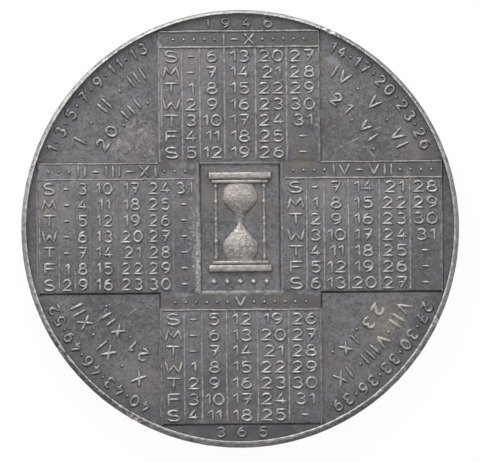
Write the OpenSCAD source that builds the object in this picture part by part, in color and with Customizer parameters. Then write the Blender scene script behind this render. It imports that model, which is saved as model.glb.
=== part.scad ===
// A struck year-calendar medal, in millimetres. It lies on its reverse at z = 0 with the dated
// face up and the head of the calendar toward +Y. Each struck feature is a solid of its own,
// seated face to face on the level that carries it.

/* [Disc] */
// Diameter over the edge
disc_d = 40; // [38:0.5:50]
// Thickness over both rims
disc_t = 3; // [2.4:0.1:4]
// Depth of the dated face's field below its rim
front_depth = 0.6; // [0.5:0.05:0.9]
// Depth of the reverse's field below its rim
back_depth = 0.6; // [0.5:0.05:0.9]

/* [Rim] */
// Width of the raised rim
rim_w = 0.48; // [0.4:0.02:1]
// Radius that rolls each crest of the rim over into the edge
rim_r = 0.26; // [0.1:0.02:0.34]
// How far the dies sat off the middle of the blank, toward the head of the calendar
strike_shift = 0.14; // [0:0.01:0.2]

/* [Calendar cross] */
// Width of the upper and lower tables
arm_w = 14.8; // [13.5:0.1:16]
// Height of the left and right tables
arm_h = 12; // [11:0.1:13]
// Width of the sunk panel between the left and right tables
window_w = 7.2; // [6:0.1:8]
// Height of the sunk panel
window_h = 11.6; // [10:0.1:12]
// Space between the corners of a table and the rim
corner_gap = 0.04; // [0.03:0.01:0.3]
// Height of the tables above the field
table_rise = 0.22; // [0.12:0.01:0.26]

/* [Lines] */
// Width of the lines between the columns
line_w = 0.12; // [0.08:0.01:0.2]
// Width of the border lines and of the line under the months
border_w = 0.2; // [0.12:0.01:0.4]
// Height of the lines above the table
line_rise = 0.07; // [0.04:0.01:0.15]
// Width of the frame strips on the two sides of the panel
frame_w = 0.5; // [0.3:0.05:0.8]
// Height of the panel's frame above the tables
frame_rise = 0.09; // [0.05:0.01:0.15]

/* [Months] */
// Height of the strip that holds the months
header_h = 1.55; // [1.3:0.05:2]
// Space above and below the month numerals in their strip
header_gap = 0.14; // [0.08:0.02:0.4]
// Width of a month letter
month_w = 1; // [0.7:0.05:1.2]
// Space between the letters of one month
month_letter_gap = 0.36; // [0.15:0.02:0.5]
// Space between one month and the next
month_gap = 1.7; // [0.8:0.1:1.8]
// Distance between the dots that fill the strip on both sides of the months
month_dot_pitch = 0.95; // [0.7:0.05:2]

/* [Day columns] */
// Weight of the column of weekday letters in the width of a table
letter_col = 2.05; // [1.8:0.05:2.6]
// Weight of a column with one-figure numbers
single_col = 1.65; // [1.5:0.05:2]
// Weight of a column with one-figure and two-figure numbers, or with one number only
mixed_col = 2.3; // [2.1:0.05:2.8]
// Weight of a column with two-figure numbers
double_col = 2.9; // [2.6:0.05:3.4]
// Space between a column line and the figures
cell_gap = 0.2; // [0.12:0.02:0.3]
// Space between the two figures of a number
figure_gap = 0.22; // [0.1:0.02:0.4]
// Space between a column line and the weekday letters
letter_gap = 0.26; // [0.22:0.02:0.5]
// Space between one row and the next
row_gap = 0.36; // [0.2:0.02:0.5]
// Free strip under the last row
table_foot = 0.12; // [0:0.02:0.3]

/* [Figures and letters] */
// Width of the strokes of figures and letters
stroke_w = 0.24; // [0.14:0.01:0.26]
// Height of the figures above the table
figure_rise = 0.13; // [0.06:0.01:0.16]
// Diameter of the dots between numbers
dot_d = 0.36; // [0.2:0.02:0.4]

/* [Quarter inscriptions] */
// Height of the week numbers in the outer line
week_h = 1.1; // [0.9:0.05:1.3]
// Width of a figure in the outer line
week_w = 0.8; // [0.65:0.01:0.85]
// Space between each end of the outer line and the tables
week_end_gap = 0.94; // [0.5:0.02:1.5]
// Height of the months in the middle line
quarter_h = 1.3; // [1:0.05:1.5]
// Width of a letter in the middle line
quarter_w = 1; // [0.7:0.02:1]
// Height of the inner line
turn_h = 1.15; // [0.9:0.05:1.3]
// Width of a letter in the inner line
turn_w = 0.94; // [0.7:0.02:1]
// Space between the letters of a month in the middle line
quarter_gap = 0.4; // [0.2:0.01:0.45]
// Space between each end of the inner line and the tables
turn_end_gap = 1.05; // [0.5:0.05:1.5]
// Space between the rim and the outer line
arc_rim_gap = 0.4; // [0.2:0.02:0.6]
// Space between one line and the next
arc_line_gap = 0.74; // [0.5:0.02:1]
// Height of the inscriptions above the field
arc_rise = 0.15; // [0.08:0.01:0.3]

/* [Year and day count] */
// Width of the figures in the two end segments
year_w = 0.9; // [0.7:0.05:1]
// Space between these figures
year_gap = 1.04; // [0.5:0.02:1.1]
// Space between a table's end and these figures
year_table_gap = 0.18; // [0.08:0.01:0.2]
// Space between these figures and the rim
year_rim_gap = 0.07; // [0.05:0.01:0.2]

/* [Centre panel] */
// Space between the hourglass and the panel's walls
panel_gap = 0.7; // [0.4:0.05:1]
// Height of the strip under the hourglass that holds the lozenges
label_h = 1.7; // [1.4:0.05:2]
// Height of the lozenges across their corners
lozenge_h = 0.84; // [0.6:0.02:1]
// Distance from one lozenge to the next
lozenge_step = 1.2; // [1.05:0.05:1.4]
// Height of an end cap of the hourglass
cap_h = 0.72; // [0.5:0.02:0.9]
// Height of the moulding inside each cap
moulding_h = 0.36; // [0.2:0.02:0.5]
// How far each end of a moulding stands back from the cap
moulding_step = 0.3; // [0.1:0.02:0.5]
// Diameter of the two posts
post_d = 0.56; // [0.4:0.02:0.7]
// Space between a moulding's end and the post
post_inset = 0.12; // [0.05:0.01:0.3]
// Space between the posts and the glass
glass_gap = 0.26; // [0.12:0.02:0.5]
// Width of the glass at its neck
neck_w = 0.44; // [0.3:0.02:0.7]
// Width of the glass where it meets the mouldings, left free on each side
foot_inset = 0.45; // [0.2:0.05:0.7]
// Height of the caps above the panel
cap_rise = 0.5; // [0.3:0.02:0.56]
// Height of the mouldings above the panel
moulding_rise = 0.4; // [0.2:0.02:0.5]
// Height of the glass above the panel
glass_rise = 0.36; // [0.2:0.02:0.5]
// Height of the lozenges above the panel
lozenge_rise = 0.2; // [0.08:0.01:0.3]

/* [Hidden] */
$fn = 96;
arc_step = 30;
field_r = disc_d / 2 - rim_w;
corner_r = field_r - corner_gap;
arm_end_y = sqrt(pow(corner_r, 2) - pow(arm_w / 2, 2));
arm_end_x = sqrt(pow(corner_r, 2) - pow(arm_h / 2, 2));
front_z = disc_t - front_depth;
// Months, weekday of the first (0 is Sunday) and number of days in each table
front_tables = [
    ["upper", ["I", "X"], 2, 31],
    ["left", ["II", "III", "XI"], 5, 31],
    ["right", ["IV", "VII"], 1, 31],
    ["lower", ["V"], 3, 31]
];
back_tables = [
    ["upper", ["VI"], 6, 30],
    ["left", ["VIII"], 4, 31],
    ["right", ["IX", "XII"], 0, 31]
];
weekdays = "SMTWTFS";
// Weeks, months and turning day of each quarter, clockwise from the upper left
quarters = [
    ["1", "1:3:5:7:9:11:13", ["I", "II", "III"], "20.III."],
    ["2", "14:17:20:23:26", ["IV", "V", "VI"], "21.VI."],
    ["3", "27:30:33:36:39", ["VII", "VIII", "IX"], "23.IX."],
    ["4", "40:43:46:49:52", ["X", "XI", "XII"], "21.XII."]
];
year_text = "1946";
day_text = "365";
sides = ["upper", "left", "right", "lower"];
back_sides = ["upper", "left", "right"];

// Stroke letters. Points are shares of a letter's box, from -0.5 to 0.5 each way.

function curve(cx, cy, rx, ry, a0, a1) =
    let (n = ceil(abs(a1 - a0) / arc_step))
    [for (i = [0:n]) let (a = a0 + (a1 - a0) * i / n) [cx + rx * cos(a), cy + ry * sin(a)]];

function turned(paths) = [for (p = paths) [for (q = p) -q]];

function upended(paths) = [for (p = paths) [for (q = p) [q[0], -q[1]]]];

six_tail = [curve(0.36, -0.1, 0.82, 0.6, 180, 104)];
letter_m = [
    [[-0.5, -0.5], [-0.32, 0.5]],
    [[-0.32, 0.5], [0, -0.2]],
    [[0, -0.2], [0.32, 0.5]],
    [[0.32, 0.5], [0.5, -0.5]]
];

// Open strokes of a letter
function strokes(c) =
    c == "1" ? [[[-0.5, 0.24], [0.4, 0.48]], [[0.5, 0.5], [0.5, -0.5]]] :
    c == "2" ? [concat(curve(0, 0.2, 0.44, 0.3, 165, -30), [[-0.42, -0.47]]),
                [[-0.5, -0.5], [0.5, -0.5]]] :
    c == "3" ? [curve(0, 0.25, 0.4, 0.25, 150, -80), curve(0, -0.24, 0.46, 0.26, 80, -150)] :
    c == "4" ? [[[0.12, 0.5], [-0.44, -0.17]], [[-0.5, -0.2], [0.5, -0.2]],
                [[0.2, 0.06], [0.2, -0.5]]] :
    c == "5" ? [[[0.44, 0.5], [-0.34, 0.5]], [[-0.34, 0.5], [-0.38, 0.06]],
                curve(-0.02, -0.17, 0.46, 0.33, 142, -145)] :
    c == "6" ? six_tail :
    c == "7" ? [[[-0.46, 0.5], [0.46, 0.5]], [[0.44, 0.48], [-0.12, -0.5]],
                [[-0.24, 0.02], [0.36, 0.02]]] :
    c == "9" ? turned(six_tail) :
    c == "-" ? [[[-0.4, 0], [0.4, 0]]] :
    c == "S" ? [concat(curve(0, 0.25, 0.42, 0.25, 35, 270),
                       [for (i = [1:8]) [0.46 * cos(90 - 30 * i), -0.25 + 0.25 * sin(90 - 30 * i)]])] :
    c == "M" ? letter_m :
    c == "W" ? upended(letter_m) :
    c == "T" ? [[[-0.48, 0.5], [0.48, 0.5]], [[0, 0.5], [0, -0.5]]] :
    c == "F" ? [[[-0.4, 0.5], [-0.4, -0.5]], [[-0.4, 0.5], [0.46, 0.5]], [[-0.4, 0.02], [0.32, 0.02]]] :
    c == "I" ? [[[0, 0.5], [0, -0.5]]] :
    c == "V" ? [[[-0.48, 0.5], [0, -0.48]], [[0, -0.48], [0.48, 0.5]]] :
    c == "X" ? [[[-0.48, 0.5], [0.48, -0.5]], [[-0.48, -0.5], [0.48, 0.5]]] :
    [];

// Closed loops of a letter: centre and the two half-axes
function loops(c) =
    c == "0" ? [[0, 0, 0.5, 0.5]] :
    c == "6" ? [[0, -0.18, 0.46, 0.32]] :
    c == "8" ? [[0, 0.26, 0.38, 0.24], [0, -0.23, 0.48, 0.27]] :
    c == "9" ? [[0, 0.18, 0.46, 0.32]] :
    [];

// Width of a letter as a share of the common width
function width_of(c) =
    c == "1" ? 0.5 : c == "." || c == ":" ? 0.3 : c == "I" ? 0.24 : c == "-" ? 0.8 :
    c == "M" || c == "W" ? 1.2 : 1;

function unit(v) = v / norm(v);

function left_of(v) = [-v[1], v[0]];

function mitre(a, b, c) =
    let (p = left_of(unit(b - a)), q = left_of(unit(c - b)), m = unit(p + q))
    m / (m * p);

function capped(p) =
    let (n = len(p) - 1, s = stroke_w / 2)
    [for (i = [0:n]) i == 0 ? p[0] + s * unit(p[0] - p[1]) :
                     i == n ? p[n] + s * unit(p[n] - p[n - 1]) : p[i]];

function edge_of(p, d) =
    let (n = len(p) - 1)
    [for (i = [0:n]) p[i] + d * (i == 0 ? left_of(unit(p[1] - p[0])) :
                                 i == n ? left_of(unit(p[n] - p[n - 1])) :
                                 mitre(p[i - 1], p[i], p[i + 1]))];

function backwards(p) = [for (i = [len(p) - 1:-1:0]) p[i]];

module stroke(path) {
    c = capped(path);
    polygon(concat(edge_of(c, stroke_w / 2), backwards(edge_of(c, -stroke_w / 2))));
}

module loop(c, rx, ry) {
    n = 360 / arc_step;
    outer = [for (i = [0:n - 1]) c + [(rx + stroke_w / 2) * cos(i * arc_step),
                                      (ry + stroke_w / 2) * sin(i * arc_step)]];
    inner = [for (i = [0:n - 1]) c + [(rx - stroke_w / 2) * cos(i * arc_step),
                                      (ry - stroke_w / 2) * sin(i * arc_step)]];
    polygon(concat(outer, inner), [[for (i = [0:n - 1]) i], [for (i = [n:2 * n - 1]) i]]);
}

// One letter, w by h over its strokes, standing up from the plane
module letter(c, w, h, rise) {
    sx = w - stroke_w;
    sy = h - stroke_w;
    for (p = strokes(c)) {
        linear_extrude(rise) stroke([for (q = p) [q[0] * sx, q[1] * sy]]);
    }
    for (e = loops(c)) {
        linear_extrude(rise) loop([e[0] * sx, e[1] * sy], e[2] * sx, e[3] * sy);
    }
    if (c == "." || c == ":") {
        translate([0, c == "." ? -sy / 2 : 0, 0]) cylinder(d = dot_d, h = rise);
    }
}

function lead(s, i, w, gap) = i == 0 ? 0 : lead(s, i - 1, w, gap) + width_of(s[i - 1]) * w + gap;

function length_of(s, w, gap) = lead(s, len(s), w, gap) - gap;

function place_of(s, i, w, gap) =
    lead(s, i, w, gap) + width_of(s[i]) * w / 2 - length_of(s, w, gap) / 2;

// A straight word, centred on its own origin
module word(s, w, h, gap, rise) {
    for (i = [0:len(s) - 1]) {
        translate([place_of(s, i, w, gap), 0, 0]) letter(s[i], width_of(s[i]) * w, h, rise);
    }
}

// A word along a circle, read clockwise with its tops outward
module arc_word(s, r, angle, w, h, gap, rise) {
    for (i = [0:len(s) - 1]) {
        rotate([0, 0, angle - 90 - place_of(s, i, w, gap) / r * 180 / PI])
            translate([0, r, 0])
            letter(s[i], width_of(s[i]) * w, h, rise);
    }
}

// The two faces share one set of modules, drawn upward from z = 0 and set on their field

module front(z = 0) {
    translate([0, strike_shift, front_z + z]) children();
}

module back(z = 0) {
    translate([0, strike_shift, back_depth - z]) rotate([0, 180, 0]) children();
}

// Disc and rim

module disc() {
    color([0.42, 0.42, 0.43]) translate([0, strike_shift, back_depth])
        cylinder(r = field_r, h = front_z - back_depth, $fn = 180);
}

module rim() {
    outer = disc_d / 2 - rim_r;
    low = [for (i = [0:6]) [outer + rim_r * sin(i * 15), rim_r - rim_r * cos(i * 15)]];
    high = [for (i = [0:6]) [outer + rim_r * cos(i * 15), disc_t - rim_r + rim_r * sin(i * 15)]];
    color([0.5, 0.5, 0.5])
        difference() {
            rotate_extrude($fn = 180) polygon(concat([[0, 0]], low, high, [[0, disc_t]]));
            translate([0, strike_shift, -disc_t]) cylinder(r = field_r, h = 3 * disc_t, $fn = 180);
        }
}

// Tables. A box is left, right, bottom and top.

function box_of(side) =
    side == "upper" ? [-arm_w / 2, arm_w / 2, arm_h / 2, arm_end_y] :
    side == "lower" ? [-arm_w / 2, arm_w / 2, -arm_end_y, -arm_h / 2] :
    side == "left" ? [-arm_end_x, -window_w / 2, -arm_h / 2, arm_h / 2] :
    [window_w / 2, arm_end_x, -arm_h / 2, arm_h / 2];

// The part of a table inside its border lines and the panel's frame
function cells_of(side) =
    let (b = box_of(side))
    [b[0] + (side == "right" ? frame_w : border_w), b[1] - (side == "left" ? frame_w : border_w),
     b[2] + table_foot, b[3] - header_h - border_w / 2];

function columns_of(first, days) = ceil((first + days) / 7);

function low_day(c, first) = max(7 * c - first + 1, 1);

function high_day(c, first, days) = min(7 * c - first + 7, days);

// Weights of a table's columns, the weekday letters first
function weights_of(first, days) =
    concat([letter_col],
           [for (c = [0:columns_of(first, days) - 1])
               high_day(c, first, days) < 10 ? single_col :
               low_day(c, first) < 10 || low_day(c, first) == days ? mixed_col : double_col]);

function sum_of(v, n) = n == 0 ? 0 : sum_of(v, n - 1) + v[n - 1];

function fit_of(side, v) = (cells_of(side)[1] - cells_of(side)[0]) / sum_of(v, len(v));

function column_x(side, v, i) = cells_of(side)[0] + fit_of(side, v) * sum_of(v, i);

function column_mid(side, v, i) = (column_x(side, v, i) + column_x(side, v, i + 1)) / 2;

function row_pitch(side) = (cells_of(side)[3] - cells_of(side)[2]) / 7;

function row_mid(side, r) = cells_of(side)[3] - (r + 0.5) * row_pitch(side);

function figure_h(side) = row_pitch(side) - row_gap;

function figure_w(side, v) =
    min((fit_of(side, v) * double_col - line_w - 2 * cell_gap - figure_gap) / 2,
        fit_of(side, v) * single_col - line_w - 2 * cell_gap);

module table(side) {
    b = box_of(side);
    translate([b[0], b[2], 0]) cube([b[1] - b[0], b[3] - b[2], table_rise]);
}

module bar(x0, x1, y0, y1, rise) {
    translate([x0, y0, 0]) cube([x1 - x0, y1 - y0, rise]);
}

// Lines of one table. One border runs round the whole cross, so a table has none where it meets the next.
module lines(t) {
    side = t[0];
    b = box_of(side);
    g = cells_of(side);
    v = weights_of(t[2], t[3]);
    x0 = side == "right" ? b[0] + frame_w : b[0];
    x1 = side == "left" ? b[1] - frame_w : b[1];
    side_top = side == "lower" ? g[3] + border_w : b[3];
    if (side != "lower") {
        bar(side == "right" ? arm_w / 2 : x0, side == "left" ? -arm_w / 2 : x1,
            b[3] - border_w, b[3], line_rise);
    }
    bar(x0, x1, g[3], g[3] + border_w, line_rise);
    if (side != "right") {
        bar(b[0], g[0], b[2], side_top, line_rise);
    }
    if (side != "left") {
        bar(g[1], b[1], b[2], side_top, line_rise);
    }
    for (i = [1:len(v) - 1]) {
        x = column_x(side, v, i);
        bar(x - line_w / 2, x + line_w / 2, g[2] + row_gap / 2, g[3] + border_w / 2, line_rise);
    }
}

// Month numerals in the strip, with a row of dots from them to each end
module months(t) {
    side = t[0];
    names = t[1];
    b = box_of(side);
    g = cells_of(side);
    widths = [for (m = names) length_of(m, month_w, month_letter_gap)];
    total = sum_of(widths, len(names)) + (len(names) - 1) * month_gap;
    y = (g[3] + b[3]) / 2;
    h = header_h - border_w - 2 * header_gap;
    for (i = [0:len(names) - 1]) {
        x = (g[0] + g[1]) / 2 - total / 2 + sum_of(widths, i) + i * month_gap + widths[i] / 2;
        translate([x, y, 0]) word(names[i], month_w, h, month_letter_gap, figure_rise);
        if (i > 0) {
            translate([x - widths[i] / 2 - month_gap / 2, y, 0])
                letter("-", month_gap / 2, h, figure_rise);
        }
    }
    free = (g[1] - g[0] - total) / 2 - month_letter_gap;
    for (s = [-1, 1]) {
        for (i = [1:floor(free / month_dot_pitch)]) {
            translate([(g[0] + g[1]) / 2 + s * (total / 2 + (i - 0.25) * month_dot_pitch), y, 0])
                letter(":", month_w, h, figure_rise);
        }
    }
}

module initials(t) {
    side = t[0];
    v = weights_of(t[2], t[3]);
    w = fit_of(side, v) * letter_col - line_w - 2 * letter_gap;
    for (r = [0:6]) {
        translate([column_mid(side, v, 0), row_mid(side, r), 0])
            letter(weekdays[r], width_of(weekdays[r]) * w, figure_h(side), figure_rise);
    }
}

module days(t) {
    side = t[0];
    first = t[2];
    v = weights_of(first, t[3]);
    w = figure_w(side, v);
    for (c = [0:columns_of(first, t[3]) - 1]) {
        for (r = [0:6]) {
            n = 7 * c + r - first + 1;
            translate([column_mid(side, v, c + 1), row_mid(side, r), 0])
                word(n < 1 || n > t[3] ? "-" : str(n), w, figure_h(side), figure_gap, figure_rise);
        }
    }
}

// Two strips on the tables beside the panel, and two sills on the field above and below it
module frame() {
    sill = (arm_h - window_h) / 2;
    for (s = [-1, 1]) {
        translate([s * (window_w + frame_w) / 2 - frame_w / 2, -arm_h / 2, table_rise])
            cube([frame_w, arm_h, frame_rise]);
        translate([-window_w / 2, s * (window_h + sill) / 2 - sill / 2, 0])
            cube([window_w, sill, table_rise]);
    }
}

// Inscriptions in the four quarters between the tables

week_r = field_r - arc_rim_gap - week_h / 2;
quarter_r = week_r - week_h / 2 - arc_line_gap - quarter_h / 2;
turn_r = quarter_r - quarter_h / 2 - arc_line_gap - turn_h / 2;

// Middle of the open angle between two tables at a radius
function arc_mid(r) = (asin(arm_h / 2 / r) + acos(arm_w / 2 / r)) / 2;

function quarter_angle(q, r) =
    q == 0 ? 180 - arc_mid(r) : q == 1 ? arc_mid(r) : q == 2 ? -arc_mid(r) : 180 + arc_mid(r);

// Open angle between two tables at a radius
function open_of(r) = acos(arm_w / 2 / r) - asin(arm_h / 2 / r);

// Gap between letters that spreads a line from one table to the next
function spread_of(s, w, h, r, end) =
    (open_of(r - h / 2) / 180 * PI * r - 2 * end - length_of(s, w, 0)) / (len(s) - 1);

module quarter(q) {
    t = quarters[q];
    a = quarter_angle(q, quarter_r);
    third = open_of(quarter_r - quarter_h / 2) / 3;
    arc_word(t[1], week_r, quarter_angle(q, week_r), week_w, week_h,
             spread_of(t[1], week_w, week_h, week_r, week_end_gap), arc_rise);
    for (i = [0:2]) {
        arc_word(t[2][i], quarter_r, a + (1 - i) * third, quarter_w, quarter_h,
                 quarter_gap, arc_rise);
    }
    for (i = [0:1]) {
        arc_word(":", quarter_r, a + (0.5 - i) * third, quarter_w, quarter_h,
                 quarter_gap, arc_rise);
    }
    arc_word(t[3], turn_r, quarter_angle(q, turn_r), turn_w, turn_h,
             spread_of(t[3], turn_w, turn_h, turn_r, turn_end_gap), arc_rise);
}

// The figures fill the segment between a table's end and the rim
year_half = length_of(year_text, year_w, year_gap) / 2;
year_h = sqrt(pow(field_r, 2) - pow(year_half, 2)) - arm_end_y - year_table_gap - year_rim_gap;

module end_figures(s, side) {
    translate([0, side * (arm_end_y + year_table_gap + year_h / 2), 0])
        word(s, year_w, year_h, year_gap, arc_rise);
}

// Centre panel: an hourglass over a row of lozenges

cap_w = window_w - 2 * panel_gap;
glass_low = -window_h / 2 + label_h + cap_h + moulding_h;
glass_high = window_h / 2 - panel_gap - cap_h - moulding_h;
glass_mid = (glass_low + glass_high) / 2;
glass_half = (glass_high - glass_low) / 2;
post_x = cap_w / 2 - moulding_step - post_inset - post_d / 2;
bulb_w = post_x - post_d / 2 - glass_gap;

// Half-width of the glass at a height from the neck (0) to a moulding (1)
function glass_x(t) =
    t < 0.62 ? neck_w / 2 + (bulb_w - neck_w / 2) * (1 - cos(t / 0.62 * 180)) / 2 :
    bulb_w - foot_inset * (1 - cos((t - 0.62) / 0.38 * 90));

module caps() {
    for (s = [-1, 1]) {
        translate([0, glass_mid + s * (glass_half + moulding_h + cap_h / 2), cap_rise / 2])
            cube([cap_w, cap_h, cap_rise], center = true);
        translate([0, glass_mid + s * (glass_half + moulding_h / 2), moulding_rise / 2])
            cube([cap_w - 2 * moulding_step, moulding_h, moulding_rise], center = true);
    }
}

module posts() {
    for (s = [-1, 1]) {
        translate([s * post_x, glass_low, 0])
            intersection() {
                rotate([-90, 0, 0]) cylinder(d = post_d, h = glass_high - glass_low, $fn = 48);
                translate([-post_d, 0, 0]) cube([2 * post_d, glass_high - glass_low, post_d]);
            }
    }
}

module glass() {
    side = [for (i = [-12:12]) [glass_x(abs(i) / 12), glass_mid + glass_half * i / 12]];
    linear_extrude(glass_rise)
        polygon(concat(side, backwards([for (p = side) [-p[0], p[1]]])));
}

module lozenges() {
    for (i = [-2:2]) {
        translate([i * lozenge_step, -window_h / 2 + label_h / 2, 0])
            cylinder(d = lozenge_h, h = lozenge_rise, $fn = 4);
    }
}

// Nodes

plain = [0.45, 0.44, 0.43];
raised = [0.66, 0.65, 0.63];

disc();
rim();
color(raised) front() end_figures(year_text, 1);  // year
color(raised) front() end_figures(day_text, -1);  // day_count
color(plain) front() frame();  // panel_frame
color(raised) front() caps();  // hourglass_caps
color(raised) front() posts();  // hourglass_posts
color(raised) front() glass();  // hourglass_glass
color(raised) front() lozenges();  // panel_lozenges
for (s = sides) color(plain) front() table(s);
for (t = front_tables) {
    color(plain) front(table_rise) lines(t);
    color(raised) front(table_rise) months(t);
    color(raised) front(table_rise) initials(t);
    color(raised) front(table_rise) days(t);
}
for (q = [0:3]) color(raised) front() quarter(q);
color(plain) back() frame();  // back_panel_frame
for (s = sides) color(plain) back() table(s);
for (t = back_tables) {
    color(plain) back(table_rise) lines(t);
    color(raised) back(table_rise) months(t);
    color(raised) back(table_rise) initials(t);
    color(raised) back(table_rise) days(t);
}
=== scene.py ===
import math
import random
from collections import namedtuple

import bmesh
import bpy
from mathutils import Matrix, Vector, noise


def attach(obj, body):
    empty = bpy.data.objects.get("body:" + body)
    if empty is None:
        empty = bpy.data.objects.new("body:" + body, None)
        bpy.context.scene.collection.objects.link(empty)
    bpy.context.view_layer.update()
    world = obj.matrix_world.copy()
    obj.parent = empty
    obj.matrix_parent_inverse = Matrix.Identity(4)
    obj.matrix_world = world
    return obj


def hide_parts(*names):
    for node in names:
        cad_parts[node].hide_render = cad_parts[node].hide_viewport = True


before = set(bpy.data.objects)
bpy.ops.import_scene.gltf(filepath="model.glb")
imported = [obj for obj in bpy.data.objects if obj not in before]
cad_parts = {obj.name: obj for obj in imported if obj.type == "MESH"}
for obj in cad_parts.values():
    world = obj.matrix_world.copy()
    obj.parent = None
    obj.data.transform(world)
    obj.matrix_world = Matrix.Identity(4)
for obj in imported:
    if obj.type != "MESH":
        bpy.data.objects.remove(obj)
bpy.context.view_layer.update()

# The blank: a round disc of bronze, silvered and since darkened by age. The two dies press each of its
# faces down into a flat field, the lowest level of that side, which shows between all that stands up
# from it. It carries over from the frame and gets the field's finish.
MM = 0.001
MIDDLE = 1.5 * MM       # half the thickness: heights on both faces are counted from there
FIELD = 0.9 * MM        # a field's height above the middle


def put(tree, kind, inputs, **settings):
    """A shader node with its settings; an input is a value, a colour or the socket that feeds it."""
    made = tree.nodes.new(kind)
    for name, value in settings.items():
        setattr(made, name, value)
    for name, value in inputs.items():
        socket = made.inputs[name]
        if isinstance(value, bpy.types.NodeSocket):
            tree.links.new(value, socket)
        elif socket.type == "RGBA":
            socket.default_value = (*value, 1)
        else:
            socket.default_value = value
    return made


def maths(tree, operation, first, second=0.0):
    return put(tree, "ShaderNodeMath", {0: first, 1: second}, operation=operation).outputs[0]


def product(tree, value, *others):
    for other in others:
        value = maths(tree, "MULTIPLY", value, other)
    return value


def vectors(tree, operation, first, second=(0, 0, 0)):
    made = put(tree, "ShaderNodeVectorMath", {0: first, 1: second}, operation=operation)
    return made.outputs["Value" if operation in ("LENGTH", "DOT_PRODUCT") else "Vector"]


def mixed(tree, share, first, second):
    return put(tree, "ShaderNodeMix", {0: share, 6: first, 7: second}, data_type="RGBA").outputs[2]


def ranged(tree, value, low, high, to_low=0.0, to_high=1.0):
    inputs = {0: value, 1: low, 2: high, 3: to_low, 4: to_high}
    return put(tree, "ShaderNodeMapRange", inputs, interpolation_type="SMOOTHSTEP").outputs[0]


def clouds(tree, place, scale, detail=4.0, rough=0.6):
    inputs = {"Vector": place, "Scale": scale, "Detail": detail, "Roughness": rough}
    return put(tree, "ShaderNodeTexNoise", inputs).outputs[0]


def layered(tree, place, layers):
    """Clouds of several sizes, added up: each layer is a scale, a detail, a roughness and a weight."""
    total = 0.0
    for scale, detail, rough, weight in layers:
        layer = product(tree, clouds(tree, place, scale, detail, rough), weight)
        total = maths(tree, "ADD", layer, total)
    return total


def effect(name, outputs, **inputs):
    """An empty shader node group: the group, the place that it works at, all inputs and all outputs."""
    group = bpy.data.node_groups.new(name, "ShaderNodeTree")
    for in_out, sockets in (("INPUT", {"Place": "Vector", **inputs}), ("OUTPUT", outputs)):
        for label, kind in sockets.items():
            group.interface.new_socket(label, in_out=in_out, socket_type="NodeSocket" + kind)
    given = group.nodes.new("NodeGroupInput").outputs
    return group, given["Place"], given, group.nodes.new("NodeGroupOutput").inputs


def distance(tree, given):
    """How far a place is from a centre, as a share of the reach."""
    away = vectors(tree, "SUBTRACT", given["Place"], given["Centre"])
    return vectors(tree, "LENGTH", vectors(tree, "DIVIDE", away, given["Reach"]))


# Tarnish: cloudy tones from dark to pale, with warmer stains where the bronze shows through
TARNISH_LAYERS = ((230, 5, 0.6, 0.24), (1150, 4, 0.6, 0.14), (2700, 3, 0.65, 0.24), (6000, 3, 0.7, 0.38))
STAIN_SHIFT = (0.37, 0.11, 0.05)        # takes the stains to other clouds than the tones
tarnish, place, given, result = effect(
    "tarnish", {"Colour": "Color", "Roughness": "Float"},
    Dark="Color", Pale="Color", Warm="Color", Warmth="Float")
tone = ranged(tarnish, layered(tarnish, place, TARNISH_LAYERS), 0.395, 0.615)
grey = mixed(tarnish, tone, given["Dark"], given["Pale"])
aside = vectors(tarnish, "ADD", place, STAIN_SHIFT)
stain = ranged(tarnish, clouds(tarnish, aside, 190, 5), 0.46, 0.68)
warm_share = product(tarnish, stain, given["Warmth"])
tarnish.links.new(mixed(tarnish, warm_share, grey, given["Warm"]), result["Colour"])
mottle = clouds(tarnish, place, 1150)
tarnish.links.new(ranged(tarnish, mottle, 0.3, 0.7, 0.4, 0.54), result["Roughness"])

# Skin: the small unevenness of a struck and handled surface, as a height
SKIN_LAYERS = ((520, 2, 0.6, 0.55), (2600, 4, 0.65, 0.4), (6200, 3, 0.6, 0.34))
PIT_SCALE, PIT_DEPTH = 900, 0.15
skin, place, _, result = effect("skin", {"Height": "Float"})
pits = put(skin, "ShaderNodeTexVoronoi", {"Vector": place, "Scale": PIT_SCALE}).outputs["Distance"]
pits = product(skin, ranged(skin, pits, 0.06, 0.16), PIT_DEPTH)
skin.links.new(maths(skin, "ADD", layered(skin, place, SKIN_LAYERS), pits), result["Height"])

# Hairlines: sparse fine scratches in three directions, each with its turn and its scale along and across
MASK = {"Mask": "Float"}
HAIRLINES = ((0.35, 420, 7000), (1.25, 520, 8500), (2.35, 460, 7800))
hairlines, place, given, result = effect("hairlines", MASK, Amount="Float")
lines = 0.0
for turn, along, across in HAIRLINES:
    inputs = {"Vector": place, "Rotation": (0, 0, turn), "Scale": (along, across, 0)}
    lying = put(hairlines, "ShaderNodeMapping", inputs).outputs[0]
    lines = maths(hairlines, "MAXIMUM", lines, ranged(hairlines, clouds(hairlines, lying, 1, 1), 0.71, 0.78))
handled = ranged(hairlines, clouds(hairlines, place, 300, 2), 0.48, 0.62)
hairlines.links.new(product(hairlines, lines, handled, given["Amount"]), result["Mask"])

# Rubbed heights: 0 at the foot of a raised form and up to 1 at its crest, on either face
rubbed, place, given, result = effect("rubbed", MASK, Foot="Float", Crest="Float", Least="Float")
height = put(rubbed, "ShaderNodeSeparateXYZ", {0: place}).outputs["Z"]
height = maths(rubbed, "ABSOLUTE", maths(rubbed, "SUBTRACT", height, MIDDLE))
climb = put(rubbed, "ShaderNodeMapRange", {0: height, 1: given["Foot"], 2: given["Crest"]}).outputs[0]
wear = ranged(rubbed, clouds(rubbed, place, 2300), 0.4, 0.64, given["Least"], 1.0)
rubbed.links.new(product(rubbed, climb, wear), result["Mask"])

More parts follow.
